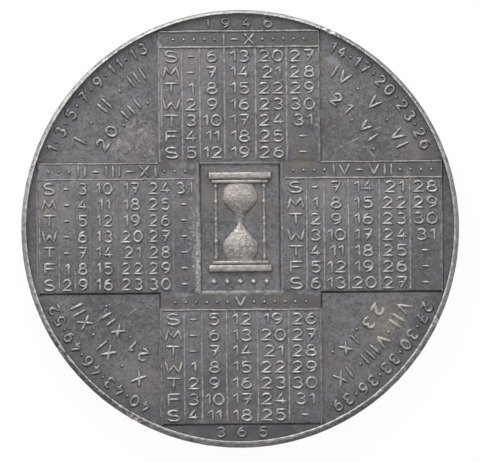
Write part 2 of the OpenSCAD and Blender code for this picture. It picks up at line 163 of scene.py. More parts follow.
# Blotch: one ragged patch at a place, such as a stain, a worn spot or an old deposit
THINNING, BARE = 0.22, 0.62     # how fast a patch breaks up outwards, and how bare it is at its centre
blotch, place, given, result = effect(
    "blotch", MASK, Centre="Vector", Reach="Vector", Grain="Float", Cover="Float", Strength="Float")
grains = clouds(blotch, place, given["Grain"], 5, 0.65)
thin = product(blotch, maths(blotch, "POWER", distance(blotch, given), 2.0), THINNING)
islands = maths(blotch, "SUBTRACT", grains, maths(blotch, "ADD", thin, BARE))
islands = maths(blotch, "ADD", islands, given["Cover"])
blotch.links.new(product(blotch, ranged(blotch, islands, -0.02, 0.1), given["Strength"]), result["Mask"])

# Score: one long scratch, from a start along a direction, that bends a little and skips in places
SCORE_BEND, SCORE_CORE, SCORE_EDGE = 0.3 * MM, 0.015 * MM, 0.05 * MM
score, place, given, result = effect(
    "score", MASK, Start="Vector", Along="Vector", Across="Vector", Length="Float")
reached = vectors(score, "SUBTRACT", place, given["Start"])
run = vectors(score, "DOT_PRODUCT", reached, given["Along"])
off = vectors(score, "DOT_PRODUCT", reached, given["Across"])
bend = product(score, maths(score, "SUBTRACT", clouds(score, place, 400, 2), 0.5), SCORE_BEND)
off = maths(score, "ABSOLUTE", maths(score, "ADD", off, bend))
line = ranged(score, off, SCORE_CORE, SCORE_EDGE, 1.0, 0.0)
begun = maths(score, "GREATER_THAN", run, 0.0)
unended = maths(score, "LESS_THAN", run, given["Length"])
skips = ranged(score, clouds(score, place, 2400, 3), 0.38, 0.56)
score.links.new(product(score, line, begun, unended, skips), result["Mask"])

# Veins: a web of fine winding lines round a place, where a crust has dried and cracked
veins, place, given, result = effect("veins", MASK, Centre="Vector", Reach="Vector", Grain="Float")
winding = maths(veins, "SUBTRACT", clouds(veins, place, given["Grain"]), 0.5)
threads = ranged(veins, maths(veins, "ABSOLUTE", winding), 0.006, 0.03, 1.0, 0.0)
skips = ranged(veins, clouds(veins, place, 1900, 3), 0.4, 0.6)
near = ranged(veins, distance(veins, given), 0.5, 1.0, 1.0, 0.0)
veins.links.new(product(veins, threads, near, skips), result["Mask"])

# Fringe: the dirt that has gathered on the field beside the rim
FRINGE_FROM, FRINGE_TO = 17.4 * MM, 18.4 * MM
fringe, place, given, result = effect("fringe", MASK, Strength="Float")
out = vectors(fringe, "LENGTH", vectors(fringe, "MULTIPLY", place, (1, 1, 0)))
patchy = ranged(fringe, clouds(fringe, place, 700, 3), 0.3, 0.62, 0.55, 1.0)
gathered = ranged(fringe, out, FRINGE_FROM, FRINGE_TO)
fringe.links.new(product(fringe, gathered, patchy, given["Strength"]), result["Mask"])

SCRATCHED = (0.36, 0.35, 0.34)
DIRT = (0.066, 0.069, 0.078)
METALLIC, BUMP = 0.86, 0.8
DULL_METAL, DULL_ROUGH = 0.8, 0.35      # what a dull spot loses of the metal, and gains in roughness


def aged_metal(name, dark, pale, warm, warmth, foot=0.0, crest=0.0, silver=None, least=0.2, scratches=0.0,
               relief=0.03, patches=(), scores=(), webs=(), dirt=0.0):
    """Silvered bronze gone grey. Silver is the colour that rubbing brings out from foot to crest, with the
    least share that shows anywhere, and relief is the skin's height in millimetres. A patch is its centre
    and reach in millimetres, its grain, cover and strength, its colour, and how much it dulls the metal. A
    score is its two ends in millimetres. A web of veins is its centre, its reach, its grain and its colour.
    Dirt is the strength of the fringe beside the rim."""
    finish = bpy.data.materials.new(name)
    finish.use_nodes = True
    tree = finish.node_tree
    shader = tree.nodes["Principled BSDF"].inputs
    place = tree.nodes.new("ShaderNodeTexCoord").outputs["Object"]

    def worked(group, **values):
        return put(tree, "ShaderNodeGroup", {"Place": place, **values}, node_tree=group).outputs

    def metres(point):
        return [c * MM for c in point]

    coats = []
    if silver:
        coats.append((worked(rubbed, Foot=foot, Crest=crest, Least=least), silver))
    if scratches:
        coats.append((worked(hairlines, Amount=scratches), SCRATCHED))
    for start, end in scores:
        along = (Vector(end) - Vector(start)).to_3d()
        line = along.normalized()
        mark = worked(score, Start=Vector(start).to_3d() * MM, Along=line, Across=line.cross((0, 0, 1)),
                      Length=along.length * MM)
        coats.append((mark, SCRATCHED))
    dulled = None
    for centre, reach, grain, cover, strength, tone, dull in patches:
        spot = worked(blotch, Centre=metres(centre), Reach=metres(reach), Grain=grain, Cover=cover,
                      Strength=strength)
        coats.append((spot, tone))
        if dull:
            loss = product(tree, spot["Mask"], dull)
            dulled = loss if dulled is None else maths(tree, "MAXIMUM", dulled, loss)
    for centre, reach, grain, tone in webs:
        coats.append((worked(veins, Centre=metres(centre), Reach=metres(reach), Grain=grain), tone))
    if dirt:
        coats.append((worked(fringe, Strength=dirt), DIRT))
    base = worked(tarnish, Dark=dark, Pale=pale, Warm=warm, Warmth=warmth)
    colour, rough = base["Colour"], base["Roughness"]
    for coat, tone in coats:
        colour = mixed(tree, coat["Mask"], colour, tone)
    shader["Metallic"].default_value = METALLIC
    if dulled is not None:
        rough = maths(tree, "ADD", rough, product(tree, dulled, DULL_ROUGH))
        metal = maths(tree, "SUBTRACT", METALLIC, product(tree, dulled, DULL_METAL))
        tree.links.new(metal, shader["Metallic"])
    inputs = {"Height": worked(skin)["Height"], "Strength": BUMP, "Distance": relief * MM}
    tree.links.new(put(tree, "ShaderNodeBump", inputs).outputs[0], shader["Normal"])
    tree.links.new(colour, shader["Base Color"])
    tree.links.new(rough, shader["Roughness"])
    return finish


def spots(level, deep, *rows):
    """Patches on one level, with one reach in depth. A row is x, y, the reach along both, and the rest."""
    return [((x, y, level), (wide, tall, deep), *rest) for x, y, wide, tall, *rest in rows]


FIELD_LEVEL, FIELD_DEEP = 2.4, 3        # where the field's patches lie, and their reach in depth
FIELD_DARK, FIELD_PALE, FIELD_WARM = (0.083, 0.083, 0.089), (0.198, 0.195, 0.203), (0.180, 0.160, 0.142)
CRUST, DEPOSIT, CHAFED = (-9.5, 8.2), (13.6, -8.8), (8.5, 8.4)      # marks in three of the quarters
CRUST_FILM, CRUST_GRIT = (0.215, 0.194, 0.178), (0.29, 0.267, 0.245)
DEPOSIT_FILM, DEPOSIT_GRIT = (0.235, 0.219, 0.18), (0.34, 0.322, 0.27)
CHAFED_DARK, CHAFED_GRIT = (0.088, 0.083, 0.082), (0.29, 0.275, 0.27)
# The second of these is painted shade for the field at the foot.
SMEAR, FOOT_PAINTED_SHADE = (0.26, 0.268, 0.285), (0.078, 0.081, 0.084)
WIDE_VEIN, FINE_VEIN = (0.30, 0.278, 0.26), (0.27, 0.25, 0.232)
field_finish = aged_metal(
    "field_metal", FIELD_DARK, FIELD_PALE, FIELD_WARM, warmth=0.4, scratches=0.55, relief=0.05, dirt=0.38,
    patches=spots(
        FIELD_LEVEL, FIELD_DEEP,
        (*CRUST, 2.8, 2.6, 1000, 0.22, 0.35, CRUST_FILM, 0.2),
        (*CRUST, 2.3, 2.0, 3000, 0.08, 0.6, CRUST_GRIT, 0.3),
        (*DEPOSIT, 2.9, 2.7, 1500, 0.18, 0.4, DEPOSIT_FILM, 0.6),
        (*DEPOSIT, 2.6, 2.4, 3400, 0.05, 0.8, DEPOSIT_GRIT, 0.6),
        (8.8, 15.3, 1.7, 0.9, 900, 0.2, 0.55, SMEAR, 0.2),
        (*CHAFED, 2.4, 3.4, 2600, 0.2, 0.6, CHAFED_DARK, 0.2),
        (*CHAFED, 2.2, 3.2, 5200, 0.05, 0.8, CHAFED_GRIT, 0),
        # Painted shade: the narrow field at the foot, between the lower table and the rim, is darkened.
        (0, -18.8, 9, 1.3, 500, 0.26, 0.6, FOOT_PAINTED_SHADE, 0)),
    scores=(((8.1, 6.9), (13.0, 9.25)), ((11.1, 7.7), (12.4, 6.5)), ((8.6, 12.2), (10.1, 10.4)),
            ((-10.1, -7.6), (-9.2, -7.0)), ((-13.2, -8.4), (-11.9, -6.7)), ((-8.2, 9.9), (-9.6, 7.1))),
    webs=(((*CRUST, FIELD_LEVEL), (3.4, 3.1, 4), 620, WIDE_VEIN),
          ((*CRUST, FIELD_LEVEL), (2.8, 2.6, 4), 1150, FINE_VEIN)))
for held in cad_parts["disc"].material_slots:
    held.material = field_finish

# The rim: the wall of metal that the collar and the dies leave standing round both faces. It is one with
# the blank. Its inner edge follows the dies, which sat a little off the middle, and years of pockets and
# drawers have rolled its crests over and left nicks in them.
RIM_R = 20 * MM
RIM_TOP = 3 * MM
RIM_W = 0.48 * MM
STRIKE = 0.14 * MM      # how far the dies sat off the middle
RIM_ROLL = 0.12 * MM    # rounding of the outer corners
RIM_LIP = 0.09 * MM     # rounding of the inner crest
RIM_FALL = 0.12 * MM    # how much lower the rim is at its outside
RIM_STEPS = (0, 0.03, 0.08, 0.14, 0.21, 0.3, 0.42, 0.54, 0.66, 0.76, 0.84, 0.9, 0.95, 0.98, 1)  # of RIM_W
WORN, DENTS = 0.016, ((700, 0.018), (2700, 0.03))       # wear all round, and the pace and depth of dents
NICKS = ((64.8, 5.5, 0.16), (213, 4.5, 0.1), (240, 8, 0.09), (334.5, 1.6, 0.12), (176, 12, 0.05),
         (121, 3, 0.05))                                # angle, spread in degrees and depth
NICK_PACE, NICK_SHARE = 2600, 0.12
CREST_FROM, CREST_SPAN = 0.8, 0.16                      # where the wear sets in, as shares of half the height
WEAR_DOWN, WEAR_IN, WEAR_REACH = 0.8, 0.9, 0.3 * MM     # its share of both directions, and its reach inwards
WALL_WEAR = 0.35                                        # what of it the wall below the crest gets


def apply_place():
    bpy.ops.object.transform_apply(location=True, rotation=True, scale=True)


def fresh(name, add, **sizes):
    """A new primitive, alone in the selection."""
    bpy.ops.object.select_all(action="DESELECT")
    add(**sizes)
    piece = bpy.context.object
    piece.name = piece.data.name = name
    apply_place()
    return piece


def mode(name):
    bpy.ops.object.mode_set(mode=name)


def pick(kind, test):
    """In edit mode, selects the edges or faces for which the test holds, and nothing else."""
    bpy.ops.mesh.select_all(action="DESELECT")
    bpy.ops.mesh.select_mode(type=kind)
    mesh = bmesh.from_edit_mesh(bpy.context.edit_object.data)
    for item in {"EDGE": mesh.edges, "FACE": mesh.faces}[kind]:
        item.select_set(test(item))
    mesh.select_flush_mode()
    bmesh.update_edit_mesh(bpy.context.edit_object.data)


def turn_outwards():
    """In edit mode, makes all faces point outwards."""
    bpy.ops.mesh.select_all(action="SELECT")
    bpy.ops.mesh.normals_make_consistent(inside=False)


def shade(angle):
    bpy.ops.object.shade_smooth_by_angle(angle=math.radians(angle))


def seat(piece, finish, slot, *nodes):
    """Gives a finished piece its place in the frame, and its material unless its parts have theirs."""
    if finish:
        piece.data.materials.clear()
        piece.data.materials.append(finish)
    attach(piece, "root")
    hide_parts(*nodes)


rim = fresh("rolled_rim", bpy.ops.mesh.primitive_cylinder_add, vertices=720, radius=RIM_R, depth=RIM_TOP,
            location=(0, 0, MIDDLE))
mode("EDIT")
pick("FACE", lambda f: abs(f.normal.z) > 0.9)
for before, after in zip(RIM_STEPS, RIM_STEPS[1:]):
    bpy.ops.mesh.inset(thickness=RIM_W * (after - before))
    bpy.ops.transform.translate(value=(0, STRIKE * (after - before), 0))
bpy.ops.mesh.delete(type="ONLY_FACE")
pick("EDGE", lambda e: e.is_boundary)
bpy.ops.mesh.bridge_edge_loops()
turn_outwards()
mode("OBJECT")
for v in rim.data.vertices:
    out = v.co.xy.length
    across = RIM_W - STRIKE * v.co.y / out
    outer, inner = max(0, RIM_R - out), max(0, across - RIM_R + out)
    drop = RIM_FALL * max(0, 1 - outer / across) ** 1.1
    for rounding, away in ((RIM_ROLL, outer), (RIM_LIP, inner)):
        drop += rounding - math.sqrt(rounding ** 2 - max(0, rounding - away) ** 2)
    v.co.z -= math.copysign(drop, v.co.z - MIDDLE)
    angle = math.degrees(math.atan2(v.co.y, v.co.x)) % 360
    wear = WORN + sum(depth * noise.noise(v.co * pace) for pace, depth in DENTS)
    for centre, spread, depth in NICKS:
        near = max(0, 1 - abs((angle - centre + 180) % 360 - 180) / spread)
        grain = noise.noise(v.co * NICK_PACE + Vector((centre, 0, 0)))
        wear += depth * near ** 0.5 * max(0, grain + NICK_SHARE)
    wear = max(0, wear) * MM
    crest = min(1, max(0, abs(v.co.z - MIDDLE) / MIDDLE - CREST_FROM) / CREST_SPAN)
    v.co.z -= math.copysign(wear * WEAR_DOWN * crest, v.co.z - MIDDLE)
    if out > RIM_R - WEAR_REACH:
        v.co.xy *= 1 - wear * WEAR_IN / out * (WALL_WEAR + (1 - WALL_WEAR) * crest)
shade(50)

MARK_R, CREST_LEVEL, RIM_SHADE_LEVEL, BAND_LEVEL = 19.8, 3.0, 2.91, 2.8
RIM_DARK, RIM_PALE, RIM_WARM = (0.115, 0.112, 0.112), (0.33, 0.321, 0.315), (0.27, 0.24, 0.211)
RIM_SILVER = (0.59, 0.579, 0.564)
# Cream is rubbed metal, and where it lies on the rim's upper half it is also a painted highlight.
BRIGHT_METAL, CREAM_WEAR_AND_HIGHLIGHT, GREY_METAL = (0.52, 0.50, 0.46), (0.41, 0.40, 0.378), (0.25, 0.243, 0.236)
# The first of these two is painted shade on the rim's lower side.
RIM_PAINTED_SHADE, BLACK_METAL = (0.085, 0.083, 0.083), (0.07, 0.067, 0.066)


def on_rim(level, *rows):
    """Patches on the rim at one level. A row is an angle, the reach, grain, cover, strength and colour."""
    made = []
    for angle, *rest in rows:
        turn = math.radians(angle)
        made.append(((MARK_R * math.cos(turn), MARK_R * math.sin(turn), level), *rest, 0))
    return made


# Painted shade: a dark band along the middle of the rim at its lower left and lower right, where the outer
# fall turns away from the head lamp.
rim_patches = on_rim(
    RIM_SHADE_LEVEL,
    (225, (8, 8, 0.05), 1400, 0.3, 0.8, RIM_PAINTED_SHADE), (300, (8, 8, 0.05), 1400, 0.3, 0.4, RIM_PAINTED_SHADE))
rim_patches += on_rim(BAND_LEVEL, (230, (8, 8, 0.09), 2600, 0.13, 0.9, CREAM_WEAR_AND_HIGHLIGHT))
# The cream patches round the rim's upper half are partly rubbed metal and partly a painted highlight, where
# the rim faces the head lamp.
rim_patches += on_rim(
    CREST_LEVEL,
    (64.8, (1.8, 1.0, 1.2), 2200, 0.16, 1, BRIGHT_METAL), (213, (0.9, 1.3, 1), 2400, 0.12, 1, BRIGHT_METAL),
    (240, (2.3, 1.3, 1), 2600, 0.14, 1, BRIGHT_METAL), (334.5, (0.5, 0.7, 1), 3000, 0.14, 1, BRIGHT_METAL),
    (170, (3, 7, 1.4), 1700, 0.18, 0.7, CREAM_WEAR_AND_HIGHLIGHT), (140, (5, 5, 1.4), 1700, 0.22, 0.7, CREAM_WEAR_AND_HIGHLIGHT),
    (110, (7, 3, 1.4), 1700, 0.16, 0.6, CREAM_WEAR_AND_HIGHLIGHT), (75, (6, 3, 1.4), 1700, 0.18, 0.6, CREAM_WEAR_AND_HIGHLIGHT),
    (94, (7, 2, 1.4), 1400, 0.26, 0.65, GREY_METAL), (268, (6, 2, 1.4), 1400, 0.26, 0.55, GREY_METAL),
    (0, (2, 6, 1.4), 1400, 0.24, 0.45, GREY_METAL), (180, (2, 5, 1.4), 1400, 0.24, 0.45, GREY_METAL),
    (20, (3, 9, 1.4), 1700, 0.16, 0.6, CREAM_WEAR_AND_HIGHLIGHT), (228, (8, 8, 1.4), 3200, 0.06, 0.7, BLACK_METAL),
    (228, (8, 8, 1.4), 4200, 0.03, 0.9, BRIGHT_METAL))
rim_finish = aged_metal(
    "rim_metal", RIM_DARK, RIM_PALE, RIM_WARM, warmth=0.3, foot=1.435 * MM, crest=1.465 * MM,
    silver=RIM_SILVER, least=0.45, scratches=0.5, relief=0.1, patches=rim_patches)
seat(rim, rim_finish, "rim", "rim")

# The tables: four flat plates in a cross, each for the months that begin on the same weekday. The dies
# raise them a fifth of a millimetre from the field, with sloping sides so that the medal leaves the die.
# From here on, forms are drawn in millimetres, upward from a field, and then set on their face.
TABLE_RISE = 0.22
ARM_W, ARM_H = 14.8, 12
WINDOW_W, WINDOW_H = 7.2, 11.6
ARM_X, ARM_Y, WINDOW_X = ARM_W / 2, ARM_H / 2, WINDOW_W / 2
TABLE_R = 19.48         # how far out the tables' corners reach
ARM_END_Y = math.sqrt(TABLE_R ** 2 - ARM_X ** 2)
ARM_END_X = math.sqrt(TABLE_R ** 2 - ARM_Y ** 2)
SLOPE = 0.12            # how far a plate's foot stands out, and its top edge in
OVERLAP = 0.08          # how far an upper or lower plate runs on under its neighbours' edges
TIE_W = 0.5             # the metal that runs across where two tables meet
TIE_TOP = TABLE_RISE - 0.004
SINK, PLATE_SINK = 0.03, 0.06           # how far a form's foot goes into the level that carries it
TABLES = {"upper": (-ARM_X, ARM_X, ARM_Y, ARM_END_Y), "lower": (-ARM_X, ARM_X, -ARM_END_Y, -ARM_Y),
          "left": (-ARM_END_X, -WINDOW_X, -ARM_Y, ARM_Y), "right": (WINDOW_X, ARM_END_X, -ARM_Y, ARM_Y)}
IN_MM, TURNED_OVER = Matrix.Scale(MM, 4), Matrix.Rotation(math.pi, 4, "Y")
FACES = {"front": Matrix.Translation((0, STRIKE, MIDDLE + FIELD)) @ IN_MM,
         "back": Matrix.Translation((0, STRIKE, MIDDLE - FIELD)) @ TURNED_OVER @ IN_MM}


def select(*pieces):
    """Selects some pieces and nothing else, and makes the first the active one."""
    bpy.ops.object.select_all(action="DESELECT")
    for piece in pieces:
        piece.select_set(True)
    bpy.context.view_layer.objects.active = pieces[0]


def strike(piece, face):
    """Sets a form on one of the two faces."""
    select(piece)
    piece.matrix_world = FACES[face]
    apply_place()


def joined(name, parts):
    select(*parts)
    bpy.ops.object.join()
    parts[0].name = parts[0].data.name = name
    return parts[0]


def block(name, x, y, wide, tall, top, sink=SINK):
    """A plain block to shape further, from its sunk foot to its top."""
    return fresh(name, bpy.ops.mesh.primitive_cube_add, size=1, scale=(wide, tall, top + sink),
                 location=(x, y, (top - sink) / 2))


def roll_over(offset, segments):
    """Rounds the edges round the top of the block that was made last."""
    mode("EDIT")
    pick("EDGE", lambda e: all(v.co.z > 0 for v in e.verts))
    bpy.ops.mesh.bevel(offset=offset, segments=segments, profile=0.5)
    mode("OBJECT")


def plate(name, side, face):
    """One table. An upper or lower one runs on as far as its neighbours' tops, so the cross has no joints."""
    left, right, low, high = TABLES[side]
    low -= OVERLAP if side == "upper" else 0
    high += OVERLAP if side == "lower" else 0
    x, y = (left + right) / 2, (low + high) / 2
    wide, tall = right - left + 2 * SLOPE, high - low + 2 * SLOPE
    piece = block(name, x, y, wide, tall, TABLE_RISE, PLATE_SINK)
    mode("EDIT")
    pick("FACE", lambda f: f.normal.z > 0.9)
    bpy.ops.transform.resize(value=((wide - 4 * SLOPE) / wide, (tall - 4 * SLOPE) / tall, 1),
                             center_override=(x, y, TABLE_RISE))
    roll_over(offset=0.03, segments=2)
    shade(25)
    if side in ("upper", "lower"):
        x, y = (ARM_X + WINDOW_X - SLOPE) / 2, ARM_Y if side == "upper" else -ARM_Y
        wide = ARM_X - WINDOW_X - SLOPE
        ties = [block(f"{name}_tie_{s}", s * x, y, wide, TIE_W, TIE_TOP) for s in (-1, 1)]
        joined(name, [piece, *ties])
    strike(piece, face)
    return piece


TABLE_LEVEL, TABLE_DEEP = 2.6, 1
TABLE_DARK, TABLE_PALE, TABLE_WARM = (0.0905, 0.0895, 0.0965), (0.203, 0.198, 0.208), (0.195, 0.174, 0.157)
# The dim tone here is painted shade for the right and lower tables, the ones farther from the head lamp.
STRIP_TONE, TABLE_PAINTED_SHADE, SOOT_TONE = (0.096, 0.092, 0.092), (0.105, 0.106, 0.114), (0.152, 0.132, 0.115)
# The side tone here is painted light for the tables' sloping sides and ends.
SIDE_PAINTED_LIGHT, LEFT_TONE, NICK_TONE = (0.33, 0.318, 0.31), (0.31, 0.29, 0.28), (0.40, 0.38, 0.345)
THUMBED_TONE = (0.30, 0.29, 0.285)
table_finish = aged_metal(
    "table_metal", TABLE_DARK, TABLE_PALE, TABLE_WARM, warmth=0.5, scratches=0.4, relief=0.06,
    patches=spots(
        TABLE_LEVEL, TABLE_DEEP,
        (0, 17.4, 24, 1.15, 900, 0.34, 1, STRIP_TONE, 0),
        (-11, 5.4, 24, 1.1, 900, 0.2, 0.6, STRIP_TONE, 0),
        (11, 5.4, 24, 1.1, 900, 0.3, 0.95, STRIP_TONE, 0),
        (0, -6.6, 24, 1.1, 900, 0.3, 0.95, STRIP_TONE, 0),
        # Painted shade: the right and lower tables are darkened, away from the head lamp.
        (11.5, -0.8, 9, 6, 600, 0.14, 0.45, TABLE_PAINTED_SHADE, 0),
        (0, -13.5, 9, 7, 600, 0.16, 0.6, TABLE_PAINTED_SHADE, 0),
        (5.7, 6.1, 1.7, 1.1, 900, 0.2, 0.6, SOOT_TONE, 0.3),
        (3.8, -6.5, 2.6, 0.9, 900, 0.18, 0.5, SOOT_TONE, 0.3),
        (7.24, 9.1, 0.35, 3.1, 2200, 0.14, 1, NICK_TONE, 0.5),
        (-3.9, -0.8, 1.3, 6.5, 3400, 0.17, 0.75, THUMBED_TONE, 0),
        (-3.9, -3.3, 1.1, 3.6, 4600, 0.08, 0.9, BRIGHT_METAL, 0),
        (-7.42, 12.4, 0.4, 5.8, 3200, 0.36, 0.85, LEFT_TONE, 0.8),
        # Painted light: pale, dulled patches on the sloping sides and ends of the tables, so these slopes
        # look as bright as the tops.
        (7.45, 12.4, 0.35, 5.5, 1500, 0.32, 0.9, SIDE_PAINTED_LIGHT, 0.8),
        (-7.5, -12.8, 0.32, 5.5, 1500, 0.34, 0.9, SIDE_PAINTED_LIGHT, 0.8),
        (7.5, -12.8, 0.32, 5.5, 1500, 0.34, 0.9, SIDE_PAINTED_LIGHT, 0.8),
        (-18.65, 0, 0.32, 9, 1500, 0.34, 0.9, SIDE_PAINTED_LIGHT, 0.8),
        (18.65, 0, 0.32, 9, 1500, 0.34, 0.9, SIDE_PAINTED_LIGHT, 0)))
for side in TABLES:
    seat(plate(side + "_plate", side, "front"), table_finish, "table", "table_" + side)

# The raised lines: the border of each table, the line under its months and the lines between its columns,
# all cut into the die as fine grooves, so that they stand up on the medal as rounded ridges. Handling has
# rubbed them bright in places.
HEADER_H = 1.55
BORDER_W, LINE_W, FRAME_W = 0.2, 0.12, 0.5
ROW_GAP, TABLE_FOOT = 0.36, 0.12
LETTER_COL, SINGLE_COL, MIXED_COL, DOUBLE_COL = 2.05, 1.65, 2.3, 2.9
WEEKDAYS = "SMTWTFS"
Dates = namedtuple("Dates", "months first days")        # first is the weekday of day 1, from 0
FRONT_DATES = {"upper": Dates(("I", "X"), 2, 31), "left": Dates(("II", "III", "XI"), 5, 31),
               "right": Dates(("IV", "VII"), 1, 31), "lower": Dates(("V",), 3, 31)}
RIDGE = ((-0.135, -0.03), (-0.12, 0.0), (-0.08, 0.03), (-0.04, 0.05), (0, 0.056))
COLUMN = ((-0.11, -0.03), (-0.1, 0.0), (-0.06, 0.02), (-0.025, 0.031))
BOLD = {"upper": 1.1, "left": 0.8, "right": 1.0, "lower": 0.95}    # how well each table's lines were struck
LINE_STEP, LINE_SHAKE, LINE_WEAR = 0.22, 0.035, 0.4
LINE_INSET, SIDE_INSET = 0.06, 0.05     # how far a line stops short of the table's edge
END_R, END_BOLD = 18, 0.65              # upright lines are weaker beyond this radius


def flat_curve(name, paths):
    """A flat curve of straight runs. A path is its points of (x, y, thickness), and whether it is closed."""
    curve = bpy.data.curves.new(name, "CURVE")
    curve.dimensions = "2D"
    for points, closed in paths:
        spline = curve.splines.new("POLY")
        spline.points.add(len(points) - 1)
        for point, (x, y, thick) in zip(spline.points, points):
            point.co = (x, y, 0, 1)
            point.radius = thick
        spline.use_cyclic_u = closed
    made = bpy.data.objects.new(name, curve)
    bpy.context.scene.collection.objects.link(made)
    return made


def outline(name, half):
    """The cross-section of a ridge, from its left half."""
    points = [*half, *((-x, y) for x, y in reversed(half) if x)]
    return flat_curve(name, [([(x, y, 1) for x, y in points], True)])


def walked(points, step, closed=False):
    """The same path in even steps."""
    ring = points + points[:1] if closed else points
    lengths = [math.dist(a, b) for a, b in zip(ring, ring[1:])]
    total = sum(lengths)
    count = max(2, round(total / step))
    path, i, before = [], 0, 0.0
    for k in range(count if closed else count + 1):
        along = total * k / count
        while i < len(lengths) - 1 and before + lengths[i] < along:
            before += lengths[i]
            i += 1
        t = min(1, (along - before) / lengths[i]) if lengths[i] else 0
        path.append(tuple(a + t * (b - a) for a, b in zip(ring[i], ring[i + 1])))
    return path


def waver(x, y, drift, pace=1.0):
    """A smooth random value for a place."""
    return noise.noise(Vector((x * pace, y * pace, drift)))


def swept(name, paths, shape, level, face):
    """Ridges of one cross-section along flat paths, as one mesh on a face."""
    piece = flat_curve(name, paths)
    piece.data.fill_mode = "NONE"
    piece.data.bevel_mode = "OBJECT"
    piece.data.bevel_object = shape
    piece.data.use_fill_caps = True
    select(piece)
    piece.location.z = level
    bpy.ops.object.convert(target="MESH")
    apply_place()
    mode("EDIT")
    turn_outwards()
    mode("OBJECT")
    bpy.ops.object.shade_smooth()
    strike(piece, face)
    return piece


def cells(side):
    """The part of a table that holds the rows: left, right, low and high."""
    left, right, low, high = TABLES[side]
    left += FRAME_W if side == "right" else BORDER_W
    right -= FRAME_W if side == "left" else BORDER_W
    return left, right, low + TABLE_FOOT, high - HEADER_H - BORDER_W / 2


def columns(side, dates):
    """The edges of a table's columns, the weekday letters' column first, and how far the widths stretch."""
    left, right = cells(side)[:2]
    first, days, week = dates.first, dates.days, len(WEEKDAYS)
    widths = [LETTER_COL]
    for c in range(math.ceil((first + days) / week)):
        earliest, latest = max(week * c - first + 1, 1), min(week * (c + 1) - first, days)
        mixed_digits = earliest < 10 or earliest == days
        widths.append(SINGLE_COL if latest < 10 else MIXED_COL if mixed_digits else DOUBLE_COL)
    fit = (right - left) / sum(widths)
    return [left + fit * sum(widths[:i]) for i in range(len(widths) + 1)], fit


def ruled(name, side, dates, face, seed):
    """All raised lines of one table."""
    left, right, low, high = TABLES[side]
    foot, head = cells(side)[2:]
    half = BORDER_W / 2
    start = left + (FRAME_W if side == "right" else LINE_INSET)
    stop = right - (FRAME_W if side == "left" else LINE_INSET)
    top = head + BORDER_W if side == "lower" else high - SIDE_INSET
    borders = [((start, head + half), (stop, head + half))]
    if side != "lower":
        borders.append(((ARM_X if side == "right" else start, high - half),
                        (-ARM_X if side == "left" else stop, high - half)))
    if side != "right":
        borders.append(((left + half, low), (left + half, top)))
    if side != "left":
        borders.append(((right - half, low), (right - half, top)))
    between = [((x, foot + ROW_GAP / 2), (x, head + half)) for x in columns(side, dates)[0][1:-1]]
    kinds = ((borders, ridge_shape, border_finish), (between, column_shape, column_finish))
    rng = random.Random(seed)
    pieces = []
    for runs, shape, finish in kinds:
        paths = []
        for ends in runs:
            drift = rng.uniform(0, 50)
            upright = ends[0][0] == ends[1][0]
            points = []
            for x, y in walked(ends, LINE_STEP):
                shake = LINE_SHAKE * waver(x, y, drift, pace=0.6)
                thick = BOLD[side] * (1 + LINE_WEAR * waver(x, y, drift + 9, pace=1.9))
                thick *= END_BOLD if upright and math.hypot(x, y) > END_R else 1.0
                points.append((x + shake, y, thick) if upright else (x, y + shake, thick))
            paths.append((points, False))
        piece = swept(name, paths, shape, TABLE_RISE, face)
        piece.data.materials.append(finish)
        pieces.append(piece)
    return joined(name, pieces)


ridge_shape, column_shape = outline("ridge_shape", RIDGE), outline("column_shape", COLUMN)
BORDER_DARK, BORDER_PALE, BORDER_SILVER = (0.1, 0.097, 0.097), (0.2, 0.192, 0.19), (0.25, 0.238, 0.23)
COLUMN_DARK, COLUMN_PALE, COLUMN_SILVER = (0.11, 0.108, 0.11), (0.215, 0.209, 0.211), (0.34, 0.333, 0.328)
EDGE_TONE, WEAK_TONE = (0.255, 0.239, 0.229), (0.15, 0.147, 0.15)
LINE_FOOT, BORDER_CREST, COLUMN_CREST = FIELD + 0.222 * MM, FIELD + 0.27 * MM, FIELD + 0.245 * MM
border_finish = aged_metal(
    "border_metal", BORDER_DARK, BORDER_PALE, TABLE_WARM, warmth=0.5, foot=LINE_FOOT, crest=BORDER_CREST,
    silver=BORDER_SILVER, least=0.0, relief=0.08,
    patches=spots(TABLE_LEVEL, TABLE_DEEP, (-7.3, 12, 0.5, 9, 1500, 0.22, 1, EDGE_TONE, 0)))
column_finish = aged_metal(
    "column_metal", COLUMN_DARK, COLUMN_PALE, TABLE_WARM, warmth=0.3, foot=LINE_FOOT, crest=COLUMN_CREST,
    silver=COLUMN_SILVER, least=0.2, relief=0.06,
    patches=spots(TABLE_LEVEL, TABLE_DEEP, (-11, -0.8, 9, 7, 2200, 0.3, 0.75, WEAK_TONE, 0),
                  (0, -13.5, 9, 7, 2200, 0.1, 0.6, WEAK_TONE, 0)))
for number, (side, dates) in enumerate(FRONT_DATES.items()):
    made = ruled(side + "_ruling", side, dates, "front", seed=11 + number)
    seat(made, None, "lines", "lines_" + side)

# The panel's frame: two flat strips on the tables beside the sunk panel, and the two sills that close it
# above and below. They come from the same die, and the strips are rubbed where a thumb rests.
STRIP = ((-0.25, -0.03), (-0.24, 0.012), (-0.19, 0.034), (-0.12, 0.047), (-0.04, 0.052))
STRIP_BOLD = {-1: 1.0, 1: 0.55}     # the left strip and the right one
STRIP_STEP, STRIP_TAPER, STRIP_SHAKE = 0.14, 0.5, 0.05
STRIP_RAGS = ((1.3, 0.3), (4.5, 0.22))      # pace and depth of its ragged edges
SILL_LAP, SILL_SINK = 0.08, 0.06            # how far a sill runs in under the tables beside and behind it
strip_shape = outline("strip_shape", STRIP)


